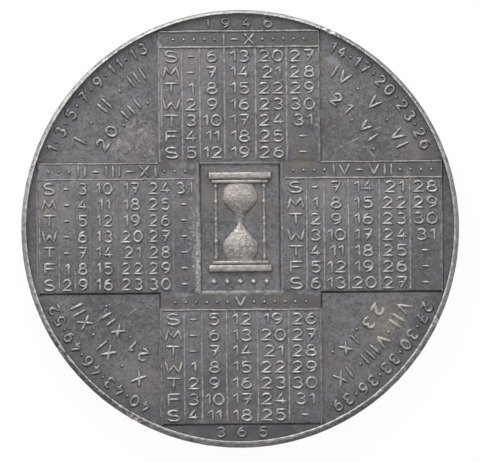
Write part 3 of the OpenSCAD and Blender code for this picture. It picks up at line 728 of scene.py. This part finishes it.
def panel_frame(name, face, seed):
    """Two ragged strips on the tables, and two sills in the panel's ends."""
    paths = []
    for s in (-1, 1):
        middle = s * (WINDOW_W + FRAME_W) / 2
        points = []
        for x, y in walked([(middle, -ARM_Y), (middle, ARM_Y)], STRIP_STEP):
            thick = STRIP_BOLD[s] * (1 - STRIP_TAPER * max(0, y / ARM_Y))
            thick *= 1 + sum(depth * waver(s, y * pace, seed) for pace, depth in STRIP_RAGS)
            points.append((x + STRIP_SHAKE * waver(y * 1.1, s, seed), y, thick))
        paths.append((points, False))
    made = [swept(name, paths, strip_shape, TABLE_RISE, face)]
    for s in (-1, 1):
        sill = block(f"{name}_sill_{s}", 0, s * (WINDOW_H + ARM_H) / 4, WINDOW_W + SILL_LAP,
                     (ARM_H - WINDOW_H) / 2 + SILL_SINK, TIE_TOP)
        roll_over(offset=0.05, segments=3)
        shade(40)
        strike(sill, face)
        made.append(sill)
    return joined(name, made)


STRIP_LEVEL = 2.7
FRAME_DARK, FRAME_PALE, FRAME_SILVER = (0.1, 0.097, 0.098), (0.215, 0.207, 0.207), (0.25, 0.242, 0.238)
# The sill's tone here is painted light.
STRIP_RUBBED, STRIP_GLINT, SILL_PAINTED_LIGHT = (0.30, 0.29, 0.286), (0.42, 0.385, 0.33), (0.34, 0.325, 0.30)
frame_finish = aged_metal(
    "frame_metal", FRAME_DARK, FRAME_PALE, TABLE_WARM, warmth=0.4, foot=FIELD + 0.2 * MM,
    crest=FIELD + 0.3 * MM, silver=FRAME_SILVER, least=0.0, relief=0.12,
    patches=spots(STRIP_LEVEL, TABLE_DEEP,
                  (-3.85, -2.2, 0.8, 5.5, 3000, 0.22, 0.8, STRIP_RUBBED, 0),
                  (-3.9, -3.3, 0.7, 3.6, 4600, 0.1, 1, BRIGHT_METAL, 0),
                  (3.85, 0, 0.7, 7, 4600, 0.04, 0.8, STRIP_GLINT, 0))
    # Painted light: the lower sill is made paler, as its edge faces the head lamp.
    + spots(TABLE_LEVEL, TABLE_DEEP, (0.2, -6.0, 6, 0.5, 1500, 0.3, 0.9, SILL_PAINTED_LIGHT, 0.3)))
seat(panel_frame("panel_surround", "front", seed=5.0), frame_finish, "lines", "panel_frame")

# The figures and letters of the tables: numerals for the months, initials for the weekdays and the numbers
# of the days. A graver cut them into the die with one round tool, so each stroke is a rounded ridge.
HEADER_GAP, MONTH_W, MONTH_LETTER_GAP, MONTH_GAP, MONTH_DOT_PITCH = 0.14, 1.0, 0.36, 1.7, 0.95
CELL_GAP, FIGURE_GAP, LETTER_GAP = 0.2, 0.22, 0.26
STROKE = ((-0.18, -0.03), (-0.165, 0.0), (-0.125, 0.051), (-0.085, 0.088), (-0.042, 0.112), (0, 0.12))
STROKE_SEEN = 0.15      # the width of a stroke as it shows, at half its height
STROKE_STEP = 0.16      # between two points of a stroke
STROKE_RUN = 0.075      # how far the tool ran on past a stroke's end
STROKE_TIPS = {0: 0.55, 1: 0.86}        # thickness of the last two points at an open end
DOT = ((-0.14, 0.25), (-0.1, 0.8), (-0.05, 1.1), (0.05, 1.1), (0.1, 0.8), (0.14, 0.25))  # x, thickness
LEAN, NUDGE, SHAKE, UNEVEN = 0.02, 0.015, 0.016, 0.2    # how unsteady the hand was
BOW_STEP = 15           # degrees between two points of a bow


def bow(cx, cy, rx, ry, start, end):
    """Points round an oval, from one angle to another in degrees."""
    count = max(2, math.ceil(abs(end - start) / BOW_STEP))
    turns = [math.radians(start + (end - start) * i / count) for i in range(count + 1)]
    return [(cx + rx * math.cos(t), cy + ry * math.sin(t)) for t in turns]


# A letter's open strokes and its loops, in a box of one by one round its middle. A loop is its centre and
# its two radii. The shares are the widths of the letters that aren't as wide as the rest.
SIX_TAIL = bow(0.36, -0.1, 0.82, 0.6, 180, 104)
M_TIPS = ((-0.5, -0.5), (-0.32, 0.5), (0, -0.2), (0.32, 0.5), (0.5, -0.5))
STROKES = {
    "1": [[(-0.5, 0.24), (0.4, 0.48)], [(0.5, 0.5), (0.5, -0.5)]],
    "2": [bow(0, 0.2, 0.44, 0.3, 165, -30) + [(-0.42, -0.47)], [(-0.5, -0.5), (0.5, -0.5)]],
    "3": [bow(0, 0.25, 0.4, 0.25, 150, -80), bow(0, -0.24, 0.46, 0.26, 80, -150)],
    "4": [[(0.12, 0.5), (-0.44, -0.17)], [(-0.5, -0.2), (0.5, -0.2)], [(0.2, 0.06), (0.2, -0.5)]],
    "5": [[(0.44, 0.5), (-0.34, 0.5)], [(-0.34, 0.5), (-0.38, 0.06)],
          bow(-0.02, -0.17, 0.46, 0.33, 142, -145)],
    "6": [SIX_TAIL],
    "7": [[(-0.46, 0.5), (0.46, 0.5)], [(0.44, 0.48), (-0.12, -0.5)], [(-0.24, 0.02), (0.36, 0.02)]],
    "9": [[(-x, -y) for x, y in SIX_TAIL]],
    "-": [[(-0.4, 0), (0.4, 0)]],
    "S": [bow(0, 0.25, 0.42, 0.25, 35, 270) + bow(0, -0.25, 0.46, 0.25, 75, -150)],
    "M": [list(ends) for ends in zip(M_TIPS, M_TIPS[1:])],
    "W": [[(x, -y) for x, y in ends] for ends in zip(M_TIPS, M_TIPS[1:])],
    "T": [[(-0.48, 0.5), (0.48, 0.5)], [(0, 0.5), (0, -0.5)]],
    "F": [[(-0.4, 0.5), (-0.4, -0.5)], [(-0.4, 0.5), (0.46, 0.5)], [(-0.4, 0.02), (0.32, 0.02)]],
    "I": [[(0, 0.5), (0, -0.5)]],
    "V": [[(-0.48, 0.5), (0, -0.48)], [(0, -0.48), (0.48, 0.5)]],
    "X": [[(-0.48, 0.5), (0.48, -0.5)], [(-0.48, -0.5), (0.48, 0.5)]],
}
LOOPS = {"0": [(0, 0, 0.5, 0.5)], "6": [(0, -0.18, 0.46, 0.32)], "9": [(0, 0.18, 0.46, 0.32)],
         "8": [(0, 0.26, 0.38, 0.24), (0, -0.23, 0.48, 0.27)]}
SHARES = {"1": 0.5, ".": 0.3, ":": 0.3, "I": 0.24, "-": 0.8, "M": 1.2, "W": 1.2}


def breadth(c, width):
    return SHARES.get(c, 1.0) * width


def length(text, width, gap):
    return sum(breadth(c, width) + gap for c in text) - gap


def word(text, x, y, width, height, gap):
    """The letters of a straight word round a middle: letter, place, size and turn."""
    at = x - length(text, width, gap) / 2
    placed = []
    for c in text:
        wide = breadth(c, width)
        placed.append((c, at + wide / 2, y, wide, height, 0.0))
        at += wide + gap
    return placed


def cut(c, width, height):
    """The strokes of one letter: their points, their thickness there, and whether they close to a ring."""
    wide, tall = width - STROKE_SEEN, height - STROKE_SEEN
    strokes = []
    for line in STROKES.get(c, ()):
        points = [(x * wide, y * tall) for x, y in line]
        first, last = Vector(points[0]), Vector(points[-1])
        first += (first - Vector(points[1])).normalized() * STROKE_RUN
        last += (last - Vector(points[-2])).normalized() * STROKE_RUN
        points = walked([tuple(first), *points, tuple(last)], STROKE_STEP)
        to_end = [min(i, len(points) - 1 - i) for i in range(len(points))]
        strokes.append((points, [STROKE_TIPS.get(i, 1.0) for i in to_end], False))
    for loop in LOOPS.get(c, ()):
        ring = [(x * wide, y * tall) for x, y in bow(*loop, 0, 360 - BOW_STEP)]
        ring = walked(ring, STROKE_STEP, closed=True)
        strokes.append((ring, [1.0] * len(ring), True))
    if c in ".:":
        lift = -tall / 2 if c == "." else 0
        strokes.append(([(x, lift) for x, thick in DOT], [thick for x, thick in DOT], False))
    return strokes


def engraved(name, letters, level, face, seed, boldness=1.0):
    """All strokes of some placed letters, as one mesh of rounded ridges."""
    rng = random.Random(seed)
    paths = []
    for c, x, y, width, height, turn in letters:
        drift = rng.uniform(0, 90)
        turn += rng.uniform(-LEAN, LEAN)
        x += rng.uniform(-NUDGE, NUDGE)
        y += rng.uniform(-NUDGE, NUDGE)
        cos, sin = math.cos(turn), math.sin(turn)
        for points, thicknesses, closed in cut(c, width, height):
            path = []
            for (px, py), thick in zip(points, thicknesses):
                thick *= boldness * (1 + UNEVEN * waver(px, py, drift, pace=2))
                px += SHAKE * waver(px, py, drift + 5)
                py += SHAKE * waver(px, py, drift + 7)
                path.append((x + cos * px - sin * py, y + sin * px + cos * py, thick))
            paths.append((path, closed))
    return swept(name, paths, stroke_shape, level, face)


def month_letters(side, dates):
    """The months in a table's upper strip, with dashes between them and dots out to both sides."""
    left, right, _, head = cells(side)
    middle, y = (left + right) / 2, (head + TABLES[side][3]) / 2
    tall = HEADER_H - BORDER_W - 2 * HEADER_GAP
    widths = [length(m, MONTH_W, MONTH_LETTER_GAP) for m in dates.months]
    total = sum(widths) + (len(widths) - 1) * MONTH_GAP
    at, placed = middle - total / 2, []
    for number, (month, wide) in enumerate(zip(dates.months, widths)):
        if number:
            placed.append(("-", at - MONTH_GAP / 2, y, MONTH_GAP / 2, tall, 0.0))
        placed += word(month, at + wide / 2, y, MONTH_W, tall, MONTH_LETTER_GAP)
        at += wide + MONTH_GAP
    free = (right - left - total) / 2 - MONTH_LETTER_GAP
    for s in (-1, 1):
        for i in range(1, math.floor(free / MONTH_DOT_PITCH) + 1):
            x = middle + s * (total / 2 + (i - 0.25) * MONTH_DOT_PITCH)
            placed.append((":", x, y, MONTH_W, tall, 0.0))
    return placed


def rows(side):
    """The height of a row, and the middles of the seven."""
    low, high = cells(side)[2:]
    pitch = (high - low) / len(WEEKDAYS)
    return pitch - ROW_GAP, [high - (r + 0.5) * pitch for r in range(len(WEEKDAYS))]


def weekday_letters(side, dates):
    edges, fit = columns(side, dates)
    tall, middles = rows(side)
    x, wide = (edges[0] + edges[1]) / 2, fit * LETTER_COL - LINE_W - 2 * LETTER_GAP
    return [(c, x, y, breadth(c, wide), tall, 0.0) for c, y in zip(WEEKDAYS, middles)]


def day_figures(side, dates):
    edges, fit = columns(side, dates)
    tall, middles = rows(side)
    used = LINE_W + 2 * CELL_GAP
    wide = min((fit * DOUBLE_COL - used - FIGURE_GAP) / 2, fit * SINGLE_COL - used)
    placed = []
    for c in range(len(edges) - 2):
        for r, y in enumerate(middles):
            day = len(WEEKDAYS) * c + r - dates.first + 1
            text = str(day) if 1 <= day <= dates.days else "-"
            placed += word(text, (edges[c + 1] + edges[c + 2]) / 2, y, wide, tall, FIGURE_GAP)
    return placed


stroke_shape = outline("stroke_shape", STROKE)
LETTER_DARK, LETTER_PALE, LETTER_WARM = (0.085, 0.083, 0.086), (0.17, 0.165, 0.167), (0.19, 0.172, 0.155)
LETTER_SILVER = (0.41, 0.404, 0.402)
letter_finish = aged_metal(
    "figure_metal", LETTER_DARK, LETTER_PALE, LETTER_WARM, warmth=0.25, foot=FIELD + 0.225 * MM,
    crest=FIELD + 0.33 * MM, silver=LETTER_SILVER, least=0.35, relief=0.05)
LETTERING = (("month_numerals", "months", month_letters), ("weekday_initials", "weekdays", weekday_letters),
             ("day_numbers", "days", day_figures))


def letter_table(prefix, node_prefix, side, dates, face, seed):
    """The months, weekdays and days of one table."""
    for kind, (label, node, letters) in enumerate(LETTERING):
        made = engraved(f"{prefix}{side}_{label}", letters(side, dates), TABLE_RISE, face, seed + 10 * kind)
        seat(made, letter_finish, "figures", f"{node_prefix}{node}_{side}")


for number, (side, dates) in enumerate(FRONT_DATES.items()):
    letter_table("", "", side, dates, "front", seed=21 + number)

# The quarters: between the tables, three curved lines give the weeks, the months and the turning day of each
# quarter of the year. They are cut like the figures, but stand on the field, where dirt has stayed.
FIELD_R = 19.52
WEEK_H, WEEK_W, WEEK_END_GAP = 1.1, 0.8, 0.94
QUARTER_H, QUARTER_W, QUARTER_GAP = 1.3, 1.0, 0.4
TURN_H, TURN_W, TURN_END_GAP = 1.15, 0.94, 1.05
ARC_RIM_GAP, ARC_LINE_GAP = 0.4, 0.74
QUARTER_BOLD = 1.18
QUARTERS = (("1:3:5:7:9:11:13", ("I", "II", "III"), "20.III."),         # weeks, months and turning day
            ("14:17:20:23:26", ("IV", "V", "VI"), "21.VI."),
            ("27:30:33:36:39", ("VII", "VIII", "IX"), "23.IX."),
            ("40:43:46:49:52", ("X", "XI", "XII"), "21.XII."))
WEEK_R = FIELD_R - ARC_RIM_GAP - WEEK_H / 2
QUARTER_R = WEEK_R - WEEK_H / 2 - ARC_LINE_GAP - QUARTER_H / 2
TURN_R = QUARTER_R - QUARTER_H / 2 - ARC_LINE_GAP - TURN_H / 2


def opening(radius):
    """Where a quarter begins and ends at a radius."""
    return math.asin(ARM_Y / radius), math.acos(ARM_X / radius)


def facing(quarter, radius):
    """The angle of a quarter's middle. The quarters go clockwise from the upper left."""
    middle = sum(opening(radius)) / 2
    return (math.pi - middle, middle, -middle, math.pi + middle)[quarter]


def curved(text, radius, angle, width, height, gap):
    """The letters of a word that runs round the medal, with its middle at an angle."""
    placed = []
    for c, along, _, wide, tall, _ in word(text, 0, 0, width, height, gap):
        at = angle - along / radius
        placed.append((c, radius * math.cos(at), radius * math.sin(at), wide, tall, at - math.pi / 2))
    return placed


def spanning(text, quarter, radius, width, height, end):
    """A curved line with the gap that lets it reach from one table to the next."""
    start, stop = opening(radius - height / 2)
    gap = ((stop - start) * radius - 2 * end - length(text, width, 0)) / (len(text) - 1)
    return curved(text, radius, facing(quarter, radius), width, height, gap)


INSCRIPTION_DARK, INSCRIPTION_PALE = (0.085, 0.083, 0.087), (0.17, 0.166, 0.168)
INSCRIPTION_SILVER, DEPOSIT_CHALK, FOOT_TONE = (0.37, 0.363, 0.358), (0.40, 0.38, 0.31), (0.19, 0.19, 0.192)
inscription_finish = aged_metal(
    "inscription_metal", INSCRIPTION_DARK, INSCRIPTION_PALE, LETTER_WARM, warmth=0.3, dirt=0.36,
    foot=FIELD + 0.01 * MM, crest=FIELD + 0.12 * MM, silver=INSCRIPTION_SILVER, least=0.35, relief=0.05,
    patches=spots(FIELD_LEVEL, FIELD_DEEP, (*DEPOSIT, 2.9, 2.9, 1500, 0.26, 0.65, DEPOSIT_CHALK, 0.6))
    + spots(FIELD_LEVEL + 0.1, FIELD_DEEP, (0, -18.8, 9, 1.3, 1500, 0.3, 0.4, FOOT_TONE, 0)))
for number, (weeks, months, turn) in enumerate(QUARTERS):
    letters = spanning(weeks, number, WEEK_R, WEEK_W, WEEK_H, WEEK_END_GAP)
    start, stop = opening(QUARTER_R - QUARTER_H / 2)
    for i, month in enumerate(months):
        at = facing(number, QUARTER_R) + (1 - i) * (stop - start) / 3
        letters += curved(month, QUARTER_R, at, QUARTER_W, QUARTER_H, QUARTER_GAP)
        if i:
            letters += curved(":", QUARTER_R, at + (stop - start) / 6, QUARTER_W, QUARTER_H, QUARTER_GAP)
    letters += spanning(turn, number, TURN_R, TURN_W, TURN_H, TURN_END_GAP)
    made = engraved(f"quarter_inscription_{number + 1}", letters, 0, "front", seed=51 + number,
                    boldness=QUARTER_BOLD)
    seat(made, inscription_finish, "inscription", f"quarter_{number + 1}")

# The year and the number of its days, in the two narrow segments between a table's end and the rim. They
# are cut with the same tool and stand on the field.
YEAR_TEXT, DAY_TEXT = "1946", "365"
YEAR_W, YEAR_GAP, YEAR_TABLE_GAP, YEAR_RIM_GAP = 0.9, 1.04, 0.18, 0.07
YEAR_ROOM = math.sqrt(FIELD_R ** 2 - (length(YEAR_TEXT, YEAR_W, YEAR_GAP) / 2) ** 2) - ARM_END_Y
YEAR_H = YEAR_ROOM - YEAR_TABLE_GAP - YEAR_RIM_GAP
for name, text, s, node, seed in (("year_figures", YEAR_TEXT, 1, "year", 61),
                                  ("day_count_figures", DAY_TEXT, -1, "day_count", 62)):
    y = s * (ARM_END_Y + YEAR_TABLE_GAP + YEAR_H / 2)
    made = engraved(name, word(text, 0, y, YEAR_W, YEAR_H, YEAR_GAP), 0, "front", seed)
    seat(made, inscription_finish, "inscription", node)

# The hourglass: the panel's emblem, modelled in low relief. Two moulded caps and two turned posts hold the
# glass, which narrows to a neck. Its high points are rubbed to a warm silver.
PANEL_GAP, LABEL_H = 0.7, 1.7
CAP_H, CAP_RISE, CAP_ROLL = 0.72, 0.5, 0.24
MOULDING_H, MOULDING_RISE, MOULDING_ROLL, MOULDING_STEP = 0.36, 0.4, 0.15, 0.3
BAR_SINK = 0.04
POST_D, POST_INSET, GLASS_GAP, NECK_W, FOOT_INSET, GLASS_RISE = 0.56, 0.12, 0.26, 0.44, 0.45, 0.36
POST_SLIM, POST_SWELL, RING_SWELL = 0.13, 0.06, 0.1
POST_RINGS = ((0.06, 0.05), (0.52, 0.035), (0.93, 0.06))    # a ring's place from the middle, and its width
BULB_AT = 0.62          # where a bulb is widest, from the neck to its end
CAP_W = WINDOW_W - 2 * PANEL_GAP
GLASS_LOW = -WINDOW_H / 2 + LABEL_H + CAP_H + MOULDING_H
GLASS_HIGH = WINDOW_H / 2 - PANEL_GAP - CAP_H - MOULDING_H
GLASS_MID, GLASS_HALF = (GLASS_LOW + GLASS_HIGH) / 2, (GLASS_HIGH - GLASS_LOW) / 2
POST_X = CAP_W / 2 - MOULDING_STEP - POST_INSET - POST_D / 2
BULB_W = POST_X - POST_D / 2 - GLASS_GAP
EMBLEM_LEVEL, EMBLEM_DEEP = 2.8, 2
EMBLEM_DARK, EMBLEM_PALE, EMBLEM_WARM = (0.165, 0.152, 0.145), (0.33, 0.307, 0.291), (0.30, 0.257, 0.22)
EMBLEM_SILVER, EMBLEM_GLINT, EMBLEM_PIT = (0.39, 0.366, 0.344), (0.49, 0.468, 0.438), (0.085, 0.078, 0.073)
emblem_finish = aged_metal(
    "emblem_metal", EMBLEM_DARK, EMBLEM_PALE, EMBLEM_WARM, warmth=0.5, foot=FIELD + 0.05 * MM,
    crest=FIELD + CAP_RISE * MM, silver=EMBLEM_SILVER, scratches=0.3, relief=0.16,
    patches=spots(EMBLEM_LEVEL, EMBLEM_DEEP, (0, 0.5, 5, 6, 4600, 0.09, 0.75, EMBLEM_GLINT, 0),
                  (0, 0.5, 5, 6, 3600, 0.05, 0.8, EMBLEM_PIT, 0)))


def moulded_bar(name, out, wide, tall, rise, roll):
    """A bar in relief beyond the glass, above or below it, with its front edges rolled over."""
    bar = block(name, 0, GLASS_MID + out, wide, tall, rise, BAR_SINK)
    roll_over(offset=roll, segments=5)
    return bar


def turned(name, profile, x, flat):
    """A turned form in half relief: a profile of (half-width, place), spun about its axis and flattened."""
    piece = fresh(name, bpy.ops.mesh.primitive_plane_add, size=0.1)
    mode("EDIT")
    bpy.ops.mesh.delete(type="VERT")
    mesh = bmesh.from_edit_mesh(piece.data)
    chain = [mesh.verts.new((half, place, 0)) for half, place in profile]
    for a, b in zip(chain, chain[1:]):
        mesh.edges.new((a, b))
    bmesh.update_edit_mesh(piece.data)
    bpy.ops.mesh.select_all(action="SELECT")
    bpy.ops.mesh.spin(steps=24, angle=-math.pi, center=(0, 0, 0), axis=(0, 1, 0))
    bpy.ops.mesh.select_all(action="SELECT")
    bpy.ops.mesh.remove_doubles(threshold=0.0005)
    mode("OBJECT")
    side = 1 if max(v.co.z for v in piece.data.vertices) > 0.01 else -1
    for v in piece.data.vertices:
        v.co = (v.co.x + x, v.co.y, side * v.co.z * flat)
    mode("EDIT")
    pick("EDGE", lambda e: e.is_boundary)
    bpy.ops.mesh.extrude_region_move(TRANSFORM_OT_translate={"value": (0, 0, -SINK)})
    bpy.ops.mesh.fill()
    turn_outwards()
    mode("OBJECT")
    return piece


def along_glass(count, half_width):
    """A profile along the glass. Its half-width follows from the distance to the middle, 0 to 1."""
    profile = []
    for i in range(count + 1):
        place = GLASS_LOW + (GLASS_HIGH - GLASS_LOW) * i / count
        profile.append((half_width(abs(2 * i - count) / count), place))
    return profile


def post_half(t):
    ring = max(math.exp(-((t - at) / wide) ** 2) for at, wide in POST_RINGS)
    return POST_SLIM + POST_SWELL * math.sin(math.pi * t) + RING_SWELL * ring


def glass_half(t):
    if t < BULB_AT:
        return NECK_W / 2 + (BULB_W - NECK_W / 2) * (1 - math.cos(t / BULB_AT * math.pi)) / 2
    return BULB_W - FOOT_INSET * (1 - math.cos((t - BULB_AT) / (1 - BULB_AT) * math.pi / 2))


def finish_emblem(piece, finish, node, angle):
    shade(angle)
    strike(piece, "front")
    seat(piece, finish, "emblem", node)


bars = []
for s in (-1, 1):
    bars.append(moulded_bar(f"cap_{s}", s * (GLASS_HALF + MOULDING_H + CAP_H / 2), CAP_W, CAP_H, CAP_RISE,
                            CAP_ROLL))
    bars.append(moulded_bar(f"moulding_{s}", s * (GLASS_HALF + MOULDING_H / 2), CAP_W - 2 * MOULDING_STEP,
                            MOULDING_H, MOULDING_RISE, MOULDING_ROLL))
finish_emblem(joined("hourglass_cap_pair", bars), emblem_finish, "hourglass_caps", angle=50)
posts = [turned(f"post_{s}", along_glass(48, post_half), s * POST_X, 1.0) for s in (-1, 1)]
finish_emblem(joined("hourglass_post_pair", posts), emblem_finish, "hourglass_posts", angle=60)
glass = turned("hourglass_bulbs", along_glass(60, glass_half), 0, GLASS_RISE / BULB_W)
finish_emblem(glass, emblem_finish, "hourglass_glass", angle=60)

# The lozenges: five small diamonds in the strip under the hourglass, each with four slanting facets and a
# small flat top. They are struck with the rest, and their tops are rubbed the brightest.
LOZENGE_H, LOZENGE_STEP, LOZENGE_RISE, LOZENGE_TOP = 0.84, 1.2, 0.2, 0.3
LOZENGE_DARK, LOZENGE_PALE, LOZENGE_SILVER = (0.13, 0.126, 0.124), (0.30, 0.292, 0.286), (0.58, 0.57, 0.56)
lozenge = fresh("lozenge", bpy.ops.mesh.primitive_cylinder_add, vertices=4, radius=LOZENGE_H / 2,
                depth=LOZENGE_RISE + SINK, location=(0, 0, (LOZENGE_RISE - SINK) / 2))
mode("EDIT")
pick("FACE", lambda f: f.normal.z > 0.9)
bpy.ops.transform.resize(value=(LOZENGE_TOP, LOZENGE_TOP, 1), center_override=(0, 0, LOZENGE_RISE))
pick("EDGE", lambda e: e.calc_face_angle(0) > 0.1 and max(v.co.z for v in e.verts) > 0.1)
bpy.ops.mesh.bevel(offset=0.02, segments=2, profile=0.5)
mode("OBJECT")
tip_turn = math.atan2(*max(lozenge.data.vertices, key=lambda v: v.co.xy.length).co.yx)
parts = []
for i in range(-2, 3):
    copy = lozenge.copy()
    copy.data = lozenge.data.copy()
    place = Matrix.Translation((i * LOZENGE_STEP, -WINDOW_H / 2 + LABEL_H / 2, 0))
    copy.data.transform(place @ Matrix.Rotation(-tip_turn, 4, "Z"))
    bpy.context.scene.collection.objects.link(copy)
    parts.append(copy)
bpy.data.objects.remove(lozenge)
lozenge_finish = aged_metal(
    "lozenge_metal", LOZENGE_DARK, LOZENGE_PALE, LETTER_WARM, warmth=0.3, foot=FIELD + 0.02 * MM,
    crest=FIELD + LOZENGE_RISE * MM, silver=LOZENGE_SILVER, least=0.6, relief=0.08)
finish_emblem(joined("panel_diamonds", parts), lozenge_finish, "panel_lozenges", angle=25)

# The reverse: struck at the same blow from the other die. It has the same cross, with the months that the
# dated face leaves out in three tables, a bare fourth table and a bare panel.
BACK_DATES = {"upper": Dates(("VI",), 6, 30), "left": Dates(("VIII",), 4, 31),
              "right": Dates(("IX", "XII"), 0, 31)}
seat(panel_frame("reverse_panel_surround", "back", seed=7.0), frame_finish, "lines", "back_panel_frame")
for side in TABLES:
    seat(plate("reverse_" + side + "_plate", side, "back"), table_finish, "table", "back_table_" + side)
for number, (side, dates) in enumerate(BACK_DATES.items()):
    made = ruled("reverse_" + side + "_ruling", side, dates, "back", seed=71 + number)
    seat(made, None, "lines", "back_lines_" + side)
    letter_table("reverse_", "back_", side, dates, "back", seed=81 + number)
for shape in (ridge_shape, column_shape, strip_shape, stroke_shape):
    bpy.data.objects.remove(shape)

# The stage: a white tabletop under the medal, a soft lamp beyond its head, one overhead and one at each
# side, an even grey surround, and the camera straight above.
PAPER_WHITE, PAPER_GLOW = 0.88, 0.96
SURROUND = (0.21, 0.21, 0.215, 1)
LAMPS = (("head_lamp", (-0.1, 0.41, 0.36), 0.55, 0.4, 3.8),     # name, place, width, depth and power
         ("overhead_lamp", (0, 0.06, 0.78), 0.7, 0.7, 1.45),
         ("left_lamp", (-0.45, 0.04, 0.3), 0.4, 0.4, 0.7),
         ("right_lamp", (0.45, 0.04, 0.3), 0.4, 0.4, 0.6))
CAMERA_Z = 0.453
CAMERA_X, CAMERA_Y, CAMERA_TURN = -0.02 * MM, -0.19 * MM, -0.5
VIEW_W = 43.82 * MM     # what the picture's width takes in at the face
SENSOR_W = 36
floor = fresh("tabletop", bpy.ops.mesh.primitive_plane_add, size=3, location=(0, 0, -0.01 * MM))
floor_finish = bpy.data.materials.new("white_tabletop")
floor_finish.use_nodes = True
tree = floor_finish.node_tree
paper = tree.nodes["Principled BSDF"]
paper.inputs["Base Color"].default_value = (PAPER_WHITE, PAPER_WHITE, PAPER_WHITE, 1)
paper.inputs["Roughness"].default_value = 0.9
glow = put(tree, "ShaderNodeEmission", {"Color": (1, 1, 1), "Strength": 1.0})
rays = tree.nodes.new("ShaderNodeLightPath").outputs
seen = maths(tree, "MAXIMUM", rays["Is Glossy Ray"], rays["Is Transmission Ray"])
seen = product(tree, maths(tree, "MAXIMUM", rays["Is Camera Ray"], seen), PAPER_GLOW)
both = put(tree, "ShaderNodeMixShader", {0: seen, 1: paper.outputs[0], 2: glow.outputs[0]})
tree.links.new(both.outputs[0], tree.nodes["Material Output"].inputs["Surface"])
floor.data.materials.append(floor_finish)

world = bpy.data.worlds.new("grey_surround")
bpy.context.scene.world = world
world.use_nodes = True
world.node_tree.nodes["Background"].inputs["Color"].default_value = SURROUND
world.node_tree.nodes["Background"].inputs["Strength"].default_value = 1.0
for name, place, wide, deep, power in LAMPS:
    bpy.ops.object.select_all(action="DESELECT")
    bpy.ops.object.light_add(type="AREA", location=place)
    lamp = bpy.context.object
    lamp.name = name
    lamp.data.shape = "RECTANGLE"
    lamp.data.size, lamp.data.size_y = wide, deep
    lamp.data.energy = power
    lamp.rotation_euler = (-lamp.location).to_track_quat("-Z", "Y").to_euler()

camera_data = bpy.data.cameras.new("camera")
camera_data.sensor_width = SENSOR_W
camera_data.lens = SENSOR_W * (CAMERA_Z - RIM_TOP) / VIEW_W
camera_data.clip_start = 0.01
camera = bpy.data.objects.new("camera", camera_data)
camera.location = (CAMERA_X, CAMERA_Y, CAMERA_Z)
camera.rotation_euler.z = math.radians(CAMERA_TURN)
bpy.context.scene.collection.objects.link(camera)
bpy.context.scene.camera = camera
bpy.context.scene.view_settings.view_transform = "Standard"
